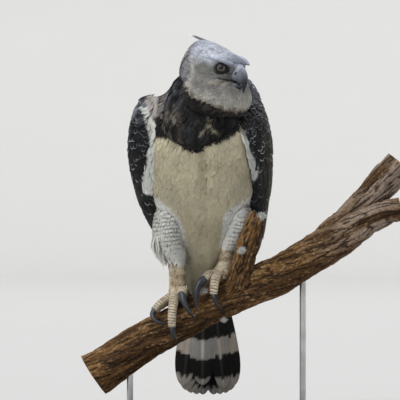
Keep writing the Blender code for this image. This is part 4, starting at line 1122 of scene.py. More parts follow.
def shells(name, grids, look, patch=False):
    """Several closed shells in one piece. Each is turned to face outwards by the sign of its volume."""
    points, faces, tints, spots, start = [], [], [], [], 0
    for place, (grid, tint) in enumerate(grids):
        rows, columns = grid.shape[:2]
        quads, caps = strip_faces(1, rows, columns)
        flat = grid.reshape(-1, 3)
        if inside_out(flat, quads):
            quads, caps = quads[:, ::-1], caps[:, ::-1]
        points.append(flat)
        tints.append(np.broadcast_to(tint, grid.shape).reshape(-1, 3))
        faces += [quads + start, caps + start]
        start += len(flat)
        down, across = rolled(rows, columns)
        spots.append(joined((across + place) / len(grids), down).reshape(-1, 2))
    patch = np.concatenate(spots) if patch else None
    return piece(name, np.concatenate(points), faces, look, tint=np.concatenate(tints), patch=patch)


def wing_body(keys, side, marks):
    """A folded wing's body: its outer face 6 mm inside the feathers, and an inner face behind it."""
    down, share = np.linspace(0.012, 0.90, 110)[:, None], np.linspace(0.015, 0.975, 46)
    thick = spline(keys, keys[0][0] + (keys[-1][0] - keys[0][0]) * down)[..., 5]
    swell = np.sin(math.pi * (0.12 + 0.70 * share**0.8))
    at, place = wing_at(keys, side), joined(share, down)
    outer, inner = at(place, -6.0), at(place, -6.0 - thick * swell)
    tint = np.concatenate([marks(place, outer), marks(place, inner)[:, ::-1]], 1)
    return shell(np.concatenate([outer, inner[:, ::-1]], 1), tint)


def make_skin(look):
    """The trunk, neck, head, thighs, wings and the tail's root."""
    down, across = rolled(150, 220)
    polar, around = 0.02 + (math.pi - 0.04) * down, across * math.tau
    trunk = skin_of(trunk_at, 130, 150, 259, 483, 4.5)
    ruff = skin_of(ruff_at, 60, 110, 588, 163, 5.0)
    sphere = joined(np.cos(polar), np.sin(polar) * np.sin(around), np.sin(polar) * np.cos(around))
    head = closed(head_at(sphere, -1.2))
    grids = [(trunk, trunk_marks(trunk)), (ruff, ruff_marks(ruff)), (head, head_marks(head))]
    for side in (-1, 1):
        brow = skin_of(brow_at(side), 40, 30, 0, 1, 0.8)
        grids.append((brow, head_marks(brow) * 0.9))
    for keys, side in ((THIGH_RIGHT, -1), (THIGH_LEFT, 1)):
        thigh = skin_of(thigh_at(keys), 60, 60, 0.02, 0.97, 4.0)
        grids.append((thigh, thigh_marks(side)(thigh)))
    for keys, side, band, brown in WINGS.values():
        grids.append(wing_body(keys, side, wing_marks(side, band, brown)))
    rump = skin_of(rump_at, 40, 60, 308, 152, 3.0)
    grids.append((rump, mix(WHITE, SLATE, smooth(0.128, 0.140, rump[..., 1]))))
    skin = shells("skin", grids, look, patch=True)
    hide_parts("torso", "neck", "head", "thigh_right", "thigh_left", "wing_right", "wing_left")


# The coat


def make_breast(look):
    """Breast, belly and vent: soft cream feathers that fall away from the middle, with loose down over them."""
    reach = (-1.95, 1.95, 636, 262)
    place = clear(trunk_at, rows_over(trunk_at, *reach, (8.0, 8.5), 0.3))
    count, u = len(place), np.linspace(0, 1, 6)
    lie = 0.42 * np.sin(place[:, 0]) + chance.normal(0, 0.16, count), -0.1
    length = chance.uniform(24, 31, count) + 6 * smooth(480, 300, place[:, 1])
    rise, form = ((0, 0.35, 1), (-6, -1.2, 0.2)), feather_form(u, 0.4, 0.6, 0.25)
    paths, half = grow(trunk_at, place, lie, length, u, rise, (-0.3, 0.5), form, (6.5, 8.5))
    own = chance.uniform(0.97, 1.02, (count, 1, 1, 1))

    def tint(points):
        # painted shade: darker towards each feather's root, under the feathers that overlap it
        return trunk_marks(points) * own * (0.90 + 0.10 * smooth(0.1, 0.7, u))[:, None, None]

    roll = chance.normal(0, 0.05, count)
    coat("coat_breast", paths, half, tint, spots_of(place, *reach), look, "pale_plumage", camber=0.12, roll=roll)

    place = clear(trunk_at, rows_over(trunk_at, *reach, (5.6, 6.0), 0.48))
    place = place[trunk_marks(trunk_at(place))[:, 1] > 0.3]
    count, u = len(place), np.array((0, 0.4, 0.75, 1.0))
    drift = noise(trunk_at(place), 0.03, 33)
    lie = 0.5 * np.sin(place[:, 0]) + 0.5 * drift + chance.normal(0, 0.25, count), 0.0
    length = chance.uniform(12, 24, count)
    rise, form = ((0, 0.3, 1), (-4, -0.4, 0.9)), np.interp(u, (0, 0.4, 1), (0.6, 0.8, 0.12))
    paths, half = grow(trunk_at, place, lie, length, u, rise, (-0.6, 0.7), form, (0.6, 1.5))
    tint = trunk_marks(paths[0][:, 3]) * chance.uniform(0.98, 1.08, (count, 1))
    # painted shade: the down is darker towards its roots
    tint = tint[:, None, None] * (0.90 + 0.10 * u)[:, None, None]
    coat("down_breast", paths, half, tint, spots_of(place, *reach), look, "pale_plumage", camber=0.1)


def make_back(look):
    """Mantle, back and rump: overlapping slate feathers with faint pale rims."""
    reach = (1.5, math.tau - 1.5, 742, 395)
    place = clear(trunk_at, rows_over(trunk_at, *reach, (11, 16), 0.2))
    count, u, low = len(place), np.linspace(0, 1, 7), smooth(700, 480, place[:, 1])
    lie = chance.normal(0, 0.10, count), 0.2
    length = chance.uniform(26, 32, count) + 16 * low
    rise, form = ((0, 0.3, 1), (-6, -0.8, 2.0)), feather_form(u, 0.4, 0.6, 0.25)
    paths, half = grow(trunk_at, place, lie, length, u, rise, (-0.5, 0.8), form, (8.5, 10), 2 * low[:, None])
    tint = trunk_marks(paths[0][:, 4]) * chance.uniform(0.8, 1.25, (count, 1))
    roll = chance.normal(0, 0.10, count)
    coat("coat_back", paths, half, tint, spots_of(place, *reach), look, "dark_plumage", camber=0.2, columns=5,
         roll=roll)


def make_shoulders(look):
    """The tops of the shoulders, between the collar and the wings."""
    reach = (-1.9, 1.9, 742, 600)
    place = clear(trunk_at, rows_over(trunk_at, *reach, (7.5, 8.5), 0.3))
    place = place[(abs(place[:, 0]) > 0.6) | (place[:, 1] > 600)]
    count, u = len(place), np.linspace(0, 1, 6)
    lie = 0.25 * np.sign(place[:, 0]) + chance.normal(0, 0.15, count), 0.0
    length = chance.uniform(20, 28, count)
    rise, form = ((0, 0.3, 1), (-5, 0.5, 3.0)), feather_form(u, 0.4, 0.6, 0.22)
    paths, half = grow(trunk_at, place, lie, length, u, rise, (-0.5, 1.2), form, (5, 6.6))
    tint = trunk_marks(paths[0][:, 4]) * chance.uniform(0.85, 1.15, (count, 1))
    dark = trunk_marks(paths[0])[:, 2:, 0].max(1) < 0.36
    coat("coat_shoulders", only(paths, dark), half[dark], tint[dark], spots_of(place[dark], *reach), look,
         "dark_plumage", roll=chance.normal(0, 0.2, count)[dark])


def make_collar(look):
    """The ruff: long soft black feathers all round the neck, loose at their ends, with hair-thin wisps."""
    reach = (-math.pi, math.pi, 750, 592)
    full, thin = feather_form(np.linspace(0, 1, 7), 0.4, 0.55, 0.15), np.array((0.8, 1, 0.7, 0.12))
    for name, spacing, form, wide, long, loose in (
        ("coat_collar", 7.5, full, (5.2, 7.2), (24, 34), 0.14),
        ("down_collar", 4.4, thin, (0.5, 1.1), (16, 32), 0.34),
    ):
        place = clear(ruff_at, rows_over(ruff_at, *reach, (spacing, spacing), 0.4), TORSO, -3, -4)
        count, u = len(place), np.linspace(0, 1, len(form))
        lie = chance.normal(0, loose, count) + 0.3 * np.sin(place[:, 0]), 0.0
        length = chance.uniform(*long, count)
        rise = ((0, 0.3, 1), (-6, 0.2, 3.2))
        paths, half = grow(ruff_at, place, lie, length, u, rise, (-0.8, 1.8), form, wide)
        # painted shade: each feather is darker towards its root, under the feathers over it; the random factor is its
        # own tone
        own = chance.uniform(0.7, 1.6, (count, 1, 1, 1)) * (0.6 + 0.4 * smooth(0, 0.5, u))[:, None, None]

        def tint(points):
            return ruff_marks(points) * own

        coat(name, paths, half, tint, spots_of(place, *reach), look, "dark_plumage",
             roll=chance.normal(0, 0.22, count))


def make_hem(look):
    """The collar's lower edge: fine dark threads that hang over the cream breast."""
    x = chance.uniform(-106, 72, HEM_THREADS)
    z = read_off(COLLAR_EDGE, x) + chance.uniform(-5, 14, HEM_THREADS)
    middle, half = outline(TORSO, z)[:2]
    sine = np.clip(abs(x - middle) / half, 0, 0.98) ** (SQUARED / 2) * np.sign(x - middle)
    place = joined(np.arcsin(sine), z)
    place = place[~inside(NECK, trunk_at(place, 3.0))]
    count, u = len(place), np.array((0, 0.35, 0.7, 1.0))
    lie = joined(chance.normal(0, 0.35, count), 0.0, -1.0)
    out = np.interp(u, (0, 0.4, 1), (-1.5, 2.0, 2.6)) + chance.uniform(-0.5, 1.2, (count, 1))
    paths = follow(trunk_at, place, lie, chance.uniform(7, 15, count) * MM, u, out)
    half = np.interp(u, (0, 0.4, 1), (0.9, 1.3, 0.15)) * chance.uniform(0.5, 1.4, (count, 1))
    tint = BLACK * chance.uniform(0.8, 2.6, (count, 1)) * (1.0, 0.97, 0.9)
    coat("hem_collar", paths, half, tint, spots_of(place, -1.6, 1.6, 560, 650), look, "dark_plumage",
         roll=chance.normal(0, 0.3, count))


def face_roots():
    """Roots over the whole head, closer together the nearer to the bill: their angle from it, and round it."""
    polar, reach = [], 0.10
    while reach < math.pi - 0.10:
        size = np.interp(reach, (0.1, 1.0, 1.8, 3.0), (2.1, 2.5, 3.8, 5.0))
        count = int(math.tau * math.sin(reach) * 68 / size)
        slots = np.arange(count) + 0.5 * (len(polar) % 2) + chance.uniform(-0.25, 0.25, count)
        turn = slots / max(count, 1) * math.tau
        polar.append(joined(reach + chance.uniform(-0.25, 0.25, count) * size / 62, turn))
        reach += size / 62
    return np.concatenate(polar).T


def make_face(look):
    """Head, cheeks and throat: feathers from scale-small at the bill and eyes to long at the nape and throat."""
    lean, turn = face_roots()
    place = joined(np.cos(lean), np.sin(lean) * np.sin(turn), np.sin(lean) * np.cos(turn))
    root = head_at(place)
    local = head_view(root)
    a, s, c = local.T
    keep = ~inside(TORSO, root, -6)
    for side in (1, -1):
        away = local - np.array(EYE_AT) * (1, side, 1)
        axis, level, rise = eye_axes(side)
        flat = away - axis * (away @ axis)[:, None]
        keep &= (np.hypot(flat @ level / BARE[0], flat @ rise / BARE[1]) > 1.0) | (away @ axis < 0)
    lip = mouth_height(a)
    keep &= ~((a > 55) & (abs(s) < 16) & (c < 40) & (c > -12))  # the bill's root
    keep &= ~((abs(c - lip + 0.6) < 3.2) & (a > 45))  # the gape
    keep &= ~((a > 56) & (c < lip) & (c > -9))  # the lower bill's side
    place, local = place[keep], local[keep]
    a, s, c = local.T
    count = len(a)
    to_bill, to_eye = np.linalg.norm(local - (66, 0, 10), axis=1), np.linalg.norm(abs(local) - EYE_AT, axis=1)
    near = np.minimum(to_bill, to_eye + 14)
    length = np.clip(2.6 + 0.105 * near, 3.6, 15) * chance.uniform(0.85, 1.2, count)
    edge = c + HEM_AT + 1.5 + HEM_SLOPE * a
    hem, under = smooth(14, 2, abs(edge)), smooth(2, -8, c + HEM_AT + HEM_SLOPE * a)
    length = length + 5.0 * smooth(-20, -70, c) + hem * chance.uniform(0, 9, count)
    length = length + under * chance.uniform(2, 12, count)
    low = smooth(0, -35, c)
    lie = joined(-1 + 0.55 * low, 0.30 * np.tanh(s / 20) * (1 + low), -0.12 - 0.9 * low)
    lie += chance.normal(0, 0.12, lie.shape) + under[:, None] * chance.normal(0, 0.25, lie.shape)
    u = np.array((0, 0.35, 0.7, 0.9, 1.0))
    out = np.interp(u, (0, 0.35, 1), (-2.6, -0.5, 0.9)) + chance.uniform(-0.2, 0.5, (count, 1))
    out = out * np.clip(length[:, None] / 12, 0.5, 1.3)
    out = out + 2.2 * under[:, None] * u * chance.uniform(0.3, 1.3, (count, 1))
    paths = follow(head_at, place, lie, length * MM, u, out)
    half = (0.5 + 0.27 * length * chance.uniform(0.85, 1.15, count)) * (1 - 0.55 * np.maximum(hem, under))
    half = feather_form(u, 0.45, 0.6, 0.25) * half[:, None]
    tint = head_marks(paths[0][:, 2]) * chance.uniform(0.80, 1.14, (count, 1))
    # painted shade: darker towards each feather's root, under the feathers over it
    tint = tint[:, None, None] * (0.58 + 0.42 * smooth(0, 0.7, u))[:, None, None]
    shaft = 1 - 0.35 * smooth(10, -40, a)[:, None, None, None] * np.array((0, 0.6, 1, 0.2, 0.0))[:, None, None]
    tint = np.broadcast_to(tint * shaft, (count, 5, 4, 3)).copy()
    spots = joined((turn[keep] / 2 / math.pi) % 1, lean[keep] / math.pi)
    for name, chosen in (("coat_crown", c > -4), ("coat_throat", c <= -4)):
        coat(name, only(paths, chosen), half[chosen], tint[chosen], spots[chosen], look, "grey_plumage",
             roll=chance.normal(0, 0.10, chosen.sum()), thick=0.2)


def make_thighs(look):
    """Small white feathers with fine dark bars on both thighs, and a loose tuft on the right one."""
    u = np.linspace(0, 1, 6)
    rise, form = ((0, 0.35, 1), (-4.5, -0.8, 1.2)), feather_form(u, 0.45, 0.6, 0.15)
    for name, keys, side, end in (("right", THIGH_RIGHT, -1, 0.96), ("left", THIGH_LEFT, 1, 0.91)):
        at, reach = thigh_at(keys), (0.0, math.tau, 0.02, end)
        place = rows_over(at, *reach, (3.9, 3.9), 0.4)
        place = place[~inside(TORSO, at(place), -2)]
        count = len(place)
        lie = chance.normal(0, 0.16, count), chance.normal(0, 0.1, count)
        length = chance.uniform(10, 15, count) * (1 + 0.5 * smooth(0.86, 0.98, place[:, 1]))
        paths, half = grow(at, place, lie, length, u, rise, (-0.5, 0.9), form, (1.9, 2.9))
        tint = (thigh_marks(side)(paths[0]) * chance.uniform(0.93, 1.05, (count, 1, 1)))[:, :, None] * np.ones((4, 1))
        coat("coat_thigh_" + name, paths, half, tint, spots_of(place, *reach), look, "pale_plumage")
    at, count, u = thigh_at(THIGH_RIGHT), TUFT_PLUMES, np.linspace(0, 1, 7)
    place = joined(chance.uniform(2.3, 3.5, count), chance.uniform(0.62, 0.93, count))
    lie = -0.10, chance.normal(0.1, 0.2, count)
    length, form = chance.uniform(14, 30, count), feather_form(u, 0.5, 0.4, 0.08)
    (path, outward, u), half = grow(at, place, lie, length, u, ((0, 1), (-1, 4)), (-1, 2), form, (1.2, 2.4))
    path = path + (u**1.5)[None, :, None] * (-0.003, 0.002, -0.008)
    tint = (WHITE * chance.uniform(0.95, 1.12, (count, 1)))[:, None, None] * np.ones((7, 1, 1))
    coat("thigh_tuft", (path, outward, u), half, tint, spots_of(place, 0, 6.3, 0, 1), look, "pale_plumage")


def make_coverts(name, at, side, marks, looks):
    """A folded wing's coverts in rows that grow downwards: dark ones, and pale ones in its white strip."""
    reach = (0.0, 1.0, 0.0, 0.60)
    place = rows_over(at, *reach, (8.0, 15.5), 0.18)
    place[:, 0] = 0.01 + 0.975 * place[:, 0]
    count, grown, u = len(place), place[:, 1] / 0.6, np.array((0, 0.3, 0.6, 0.8, 0.92, 1.0))
    length = (15 + 20 * grown) * chance.uniform(0.92, 1.1, count)
    lie = 0.0, 0.12 + chance.normal(0, 0.07, count)
    rise, form = ((0, 0.3, 1), (-7, -2.6, 0.2)), feather_form(u, 0.45, 0.62, 0.28)
    broad = form * (5.4 + 4.0 * grown)[:, None]
    paths, half = grow(at, place, lie, length, u, rise, (-0.3, 0.5), broad, (0.92, 1.06))
    if side > 0:  # more of them over the breast's side, up to the left wing's front edge
        more = rows_over(trunk_at, 0.2, 1.6, 712, 500, (7.0, 9.0), 0.2)
        x, _, z = trunk_at(more).T / MM
        more = more[(x > read_off(FRONT_EDGE, z) + 2) & ~inside_head(trunk_at(more), -3)]
        count = len(more)
        lie = joined(0.16 + chance.normal(0, 0.06, count), 0.0, -1.0)
        out = np.interp(u, (0, 0.3, 1), (-2, 2.8, 5.6)) + chance.uniform(-0.3, 0.5, (count, 1))
        there = follow(trunk_at, more, lie, chance.uniform(16, 22, count) * MM, u, out)
        spot = joined(0.01, (712 - more[:, 1]) / 600)
        path, outward, half, place = gathered([
            (*paths[:2], half, place), (*there[:2], form * chance.uniform(4.6, 5.6, (count, 1)), spot),
        ])
        paths = path, outward, u
    path = paths[0]
    pale = marks(place, path[:, 3])[:, 1] > 0.3
    kept = ~pale | (marks(place, path[:, 0])[:, 1] > 0.3) | (path[:, 0, 0] * side > 0.120)
    place, half, pale, count = place[kept], half[kept], pale[kept], kept.sum()
    path, outward, u = only(paths, kept)
    own = chance.uniform(0.75, 1.25, (count, 1, 1, 1)) ** np.where(pale, 0.15, 1)[:, None, None, None]
    # painted shade: depth is how much darker each covert is towards its root, under the feathers that overlap it
    depth = np.where(pale, 0.04, 0.38)[:, None, None, None]
    roll = (-side * 0.10 + chance.normal(0, 0.05, count)) * np.where(pale, 0.3, 1)
    longer = path[:, :1] + (path - path[:, :1]) * 1.3 - outward * (0.0006 * u)[:, None]
    paths = np.where(pale[:, None, None], longer, path), outward, u
    half = half * np.where(pale, 0.82, 1)[:, None]
    for label, chosen, look in (("coverts_", ~pale, looks[0]), ("lining_", pale, looks[1])):

        def tint(points):
            shade = 1 - depth[chosen] * (1 - smooth(0, 0.6, u))[:, None, None]
            return marks(place[chosen][:, None, None], points) * own[chosen] * shade

        made = coat(label + name, only(paths, chosen), half[chosen], tint, spots_of(place[chosen], *reach), look,
                    "dark_plumage", columns=5, camber=0.18, roll=roll[chosen])
        if label == "coverts_":
            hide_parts("wing_" + name)


QUILLS = (  # count, root at front and back, length at front and back, height at root and tip, half width
    (13, 0.36, 0.40, 0.20, 0.24, -1.4, 1.2, 0.95),
    (12, 0.46, 0.50, 0.30, 0.36, -2.0, 0.8, 1.0),
    (11, 0.56, 0.62, 0.40, 0.375, -2.8, 0.2, 1.0),
)


def make_quills(name, at, side, marks, brown, look):
    """A folded wing's long feathers in three tiers: greater coverts, secondaries and primaries."""
    groups = []
    u = np.concatenate([[0, 0.04], np.linspace(0.12, 0.86, 14), [0.91, 0.95, 0.98, 1.0]])
    for count, first, last, start, end, low, high, wide in QUILLS:
        share = (np.arange(count) + 0.5) / count
        root = first + (last - first) * share + chance.uniform(-0.006, 0.006, count)
        long = np.minimum(start + (end - start) * share, 0.985 - root) + chance.uniform(-0.012, 0.0, count)
        lane = 0.02 + 0.955 * share[:, None] + 0.045 * u * (1 - share[:, None])
        where = joined(lane, root[:, None] + long[:, None] * u)
        out = np.interp(u, (0, 0.12, 1), (-7, low - 1.2, high)) + chance.uniform(-0.25, 0.25, (count, 1))
        path = at(where, out)
        beside = np.linalg.norm(at(where + (1 / count, 0), out) - path, axis=-1) / MM
        half = feather_form(u, 0.55, 0.5, 0.2) ** 0.8 * np.maximum(beside, 5.0) * 0.78 * wide
        colour = marks(where, path) * chance.uniform(0.75, 1.25, (count, 1, 1))
        groups.append((path, outward_of(at, where)[0], half, colour, joined(lane[:, 0], root)))
    path, outward, half, tint, spots = gathered(groups)
    s = across_vane(7)
    shading = (1 + 1.2 * bell(s, 0.10)) * (1 + 1.3 * smooth(0.86, 0.97, abs(s)) * brown)
    coat("quills_" + name, (path, outward, u), half, tint[:, :, None] * shading[:, None], spots, look, "dark_plumage",
         columns=7, camber=0.10, thick=0.5, roll=-side * 0.07)


def make_crest(look):
    """The crest laid back over the nape in four rows, and the one feather that stands off the crown."""
    groups = []
    u = np.linspace(0, 1, 12)
    for row, (count, start, end, half, lift) in enumerate(CREST_ROWS):
        k = (np.arange(count) + 0.5) / count * 2 - 1
        sideways = k * CREST_SPREAD + chance.uniform(-1.5, 1.5, count)
        span = np.radians(end - start + chance.uniform(-8, 8, count) - 16 * abs(k))
        around, across = math.radians(start) + span[:, None] * u, sideways[:, None] * (1 - 0.10 * u)
        out = lift + np.interp(u, (0, 0.15, 1), (-4, 0.2, 4.2)) + chance.uniform(-0.4, 0.6, (count, 1))
        path = crest_point(around, across, out)
        outward = (crest_point(around, across, out + 1) - path) @ head_frame()
        path = in_head(path * MM)
        half = feather_form(u, 0.6, 0.6, 0.2) * half * chance.uniform(0.85, 1.1, (count, 1))
        shade = head_marks(path) * (1 - 0.62 * smooth(0.35, 0.85, u)[:, None]) + 0.30 * smooth(0.9, 1.0, u)[:, None]
        shade = shade * chance.uniform(0.8, 1.15, (count, 1, 1))
        groups.append((path, outward, half, shade, joined((k + 1) / 2, 0.15 + 0.2 * row)))
    raised = [(i, *row) for i, row in enumerate(CREST_RAISED)]
    found = spline(raised, np.linspace(0, len(raised) - 1, 12))[None]
    shade = mix((0.15, 0.155, 0.18), (0.80, 0.80, 0.78), smooth(0.76, 0.94, u))[None]
    outward = np.broadcast_to(unit(np.array((0.1, -1.0, 0.45))), (1, 12, 3))
    groups.append((in_head(found[..., :3] * MM), outward, 0.85 * found[..., 3], shade, [[0.5, 0.05]]))
    path, outward, half, tint, spots = gathered(groups)
    made = coat("coat_crest", (path, outward, u), half, tint[:, :, None] * np.ones((8, 1)), spots, look,
                "grey_plumage", columns=5, camber=0.22, roll=0.06)
    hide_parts("crest")


def crest_point(around, sideways, out):
    """A point on the ellipsoid over the crown and down the nape, by its angle back from the top."""
    ahead, across, up = CREST_RADII
    shrink = np.sqrt(1 - (sideways / across) ** 2)
    x = CREST_AT[0] - (ahead * shrink + out) * np.sin(around)
    z = CREST_AT[2] + (up * shrink + out) * np.cos(around)
    return joined(x, sideways, z)


def tail_marks(x, z, short, lane, s):
    """Tail bars by height: black to the tip band, with jagged edges, grey-white in between and at the tip."""
    outer = smooth(2.5, 6.5, lane)
    jag = 0.0022 * np.sin(s * 9 + lane * 3) + 0.004 * noise(joined(x * 3, z, 0.0), 0.006, 61)
    height = z + jag - 0.006 * abs(s)
    pale = mix((0.34, 0.34, 0.325), (0.46, 0.42, 0.37), outer)
    black = mix(BLACK * 1.5, SLATE * 1.1, smooth(0, 1, noise(joined(x, z, 0.0), 0.02, 62)))
    tip = TAIL_TIP_Z + short * MM + 0.010 + 0.009 * outer
    colour = mix(mix(pale, WHITE * 0.72, 0.5 * outer), black, smooth(tip, tip + 0.004, height))
    low, high = 0.127 - 0.012 * (1 - outer), 0.163 - 0.006 * (1 - outer)
    colour = mix(colour, pale, smooth(low - 0.003, low + 0.001, height) * smooth(high + 0.003, high, height))
    return mix(colour, pale * 0.8, smooth(0.262, 0.266, height) * smooth(0.298, 0.294, height))


def make_tail(look):
    """Twelve tail feathers with their bars."""
    groups, s = [], across_vane(11)
    u = np.concatenate([np.linspace(0, 0.92, 84), [0.94, 0.955, 0.97, 0.98, 0.99, 1.0]])
    for pair, (lean, short) in enumerate(TAIL_FEATHERS):
        for side in (1, -1):
            layer, wide, cut = pair * 2 + (side < 0), TAIL_HALF * (1 + 0.01 * lean), short
            if pair == 5:  # the short pair in front: one lies broad over the middle, the other lower beside it
                lean, wide, cut = (4.6, TAIL_HALF, short - 9) if side > 0 else (1.4, 1.22 * TAIL_HALF, short - 2)
            fall = TAIL_ROOT[2] - TAIL_TIP_Z - cut * MM
            swing = math.tan(math.radians(side * lean + TAIL_LEAN))
            z = TAIL_ROOT[2] - fall * u
            x = TAIL_ROOT[0] + side * (3 + 0.8 * lean) * MM + fall * u * swing
            y = TAIL_ROOT[1] + 0.008 + TAIL_SLOPE * fall * u - layer * TAIL_LAYER * MM * (0.45 + 0.55 * u)
            path = joined(x, y, z)
            colour = tail_marks(x[:, None], z[:, None], cut, lean + layer * 0.01, s)
            shaft = 1 + 2.4 * bell(s, 0.035) * smooth(0.5, 0.1, colour.mean(-1))
            outward = np.broadcast_to((0.0, -1.0, -TAIL_SLOPE), path.shape)
            groups.append((path[None], outward[None], wide * feather_form(u, 0.35, 0.80, 0.10)[None],
                           (colour * shaft[..., None])[None], [(layer / 12, 0.0)]))
    path, outward, half, tint, spots = gathered(groups)
    tail = coat("tail_feathers", (path, outward, u), half, tint, spots, look, "dark_plumage", columns=11,
                camber=0.06, thick=0.7)
    # each long feather has a strip of the texture map for itself
    strip = joined((np.arange(12)[:, None, None] + 0.5 + 0.45 * s) / 12, 0.01 + 0.98 * u[:, None])
    corners = np.empty(len(tail.data.loops), np.int32)
    tail.data.loops.foreach_get("vertex_index", corners)
    spots = strip.reshape(-1, 2)[corners].astype(np.float32)
    tail.data.uv_layers["OFBake"].data.foreach_set("uv", spots.ravel())
    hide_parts("tail")


def make_rump(look):
    """The coverts over and under the tail's root: slate behind, white in front."""
    reach = (0.0, math.tau, 455, 312)
    place = rows_over(rump_at, *reach, (8.0, 8.5), 0.3)
    count, u = len(place), np.linspace(0, 1, 7)
    lie = joined(chance.normal(0, 0.12, count), 0.15, -1.0)
    out = np.interp(u, (0, 0.3, 1), (-5, -0.5, 1.5)) + chance.uniform(-0.6, 1.0, (count, 1))
    paths = follow(rump_at, place, lie, chance.uniform(30, 44, count) * MM, u, out)
    behind = paths[0][:, 2, 1] > 0.136
    tint = np.where(behind[:, None], SLATE * 1.4, WHITE * 0.93) * chance.uniform(0.8, 1.15, (count, 1))
    half = feather_form(u, 0.45, 0.6, 0.2) * chance.uniform(6, 8, (count, 1))
    coat("coat_rump", paths, half, tint, spots_of(place, *reach), look, "dark_plumage", columns=5)


# The face


def eye_axes(side):
    """The gaze's direction and the level and upright directions across it, in the head's frame."""
    axis = unit(np.array(GAZE) * (1, side, 1))
    level = unit(np.cross((0.0, 0.0, 1.0), axis))
    return axis, level, np.cross(axis, level)


def make_eyes(look, lid_look):
    """Eyeballs with a raised cornea over the iris, and the bare lids round them."""
    for side, word in ((-1, "right"), (1, "left")):
        axis, level, rise = eye_axes(side)
        middle = np.array(EYE_AT) * (1, side, 1)
        down, across = rolled(90, 72)
        polar, turn = 0.004 + (math.pi - 0.01) * down**1.25, across * math.tau
        spot = np.cos(polar), np.sin(polar) * np.cos(turn), np.sin(polar) * np.sin(turn)
        away = on_axes(0, (axis, level, rise), *spot)
        ball = middle + (EYE_RADIUS + CORNEA_RISE * bell(polar, 0.62))[..., None] * away
        degrees = np.degrees(polar)
        fibres = 0.5 + 0.5 * np.sin(turn * 34 + 3 * np.sin(turn * 5))
        iris = mix((0.035, 0.029, 0.024), (0.17, 0.14, 0.115), bell(degrees - 33, 10) * (0.6 + 0.4 * fibres))
        tint = mix((0.004, 0.004, 0.005), iris, smooth(22, 25, degrees))
        tint = mix(tint, (0.012, 0.010, 0.009), smooth(37, 41, degrees))
        made = shells("eyeball_" + word, [shell(in_head(ball * MM), tint)], look, patch=True)
        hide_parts("eye_" + word)

        # the lids run from the eye's opening at t = 0 out to the socket at t = 1, and back underneath
        around = np.linspace(0, math.tau, 96, endpoint=False)
        t = np.array((0.0, 0.06, 0.14, 0.24, 0.36, 0.5, 0.64, 0.78, 0.9, 1.0))[:, None]
        cosine, sine = np.cos(around), np.sin(around)
        edges = (9.6 + 0.9 * cosine**8) * cosine, np.where(sine > 0, 5.4, 8.0) * sine
        x, y = (edge + (wide * wave - edge) * t for edge, wide, wave in zip(edges, LID_OUT, (cosine, sine)))
        base = np.sqrt(np.maximum(LID_RADIUS**2 - x**2 - y**2, 0.0))
        seat = np.interp(t, (0, 0.3, 1), (0.0, 0.9, -2.5))
        height = np.maximum(base, 4.0 - 5.0 * t) + seat + 0.55 * np.sin(np.minimum(t * 6, 1) * math.pi) * 1.2
        axes = (level * np.sign(level[0]), rise, axis)
        top, wall = (on_axes(middle, axes, x[way], y[way], height[way] - deep)
                     for way, deep in ((slice(None), 0.0), (slice(None, None, -1), 1.6)))
        ring = np.concatenate([top, wall]).transpose(1, 0, 2)
        crease = 0.5 + 0.5 * np.sin(around * 23)[:, None] * smooth(0.2, 0.6, np.concatenate([t, t[::-1]])[:, 0])
        tint = mix((0.005, 0.005, 0.0055), (0.017, 0.017, 0.018), crease)
        loop_piece("eyelids_" + word, in_head(ring * MM), lid_look, tint)


def loop_piece(name, grid, look, tint):
    """A ring-shaped closed surface: both of its parameters run round."""
    rows, columns = grid.shape[:2]
    r, c = np.meshgrid(np.arange(rows), np.arange(columns), indexing="ij")
    after, beside = (r + 1) % rows * columns, (c + 1) % columns
    quads = joined(r * columns + c, r * columns + beside, after + beside, after + c).reshape(-1, 4)
    flat = grid.reshape(-1, 3)
    if inside_out(flat - flat.mean(0), quads):
        quads = quads[:, ::-1]
    piece(name, flat, [quads], look, tint=tint)


def bill_rings(keys, rows, columns, narrow_top):
    """Rings between the bill's two outlines. A positive narrow_top makes the upper side the slimmer one."""
    found = spline(keys, np.linspace(0, 1, rows))
    high, low, half = found[:, 0:2], found[:, 2:4], found[:, 4]
    angle = turns(columns)
    rise = (1 + np.cos(angle)) / 2
    middle = low[:, None] + (high - low)[:, None] * rise[:, None]
    sideways = half[:, None] * rounded(np.sin(angle), 2.4) * (1 - narrow_top * np.cos(angle))
    return joined(middle[..., 0], sideways, middle[..., 1]), rise, np.linspace(0, 1, rows)[:, None]


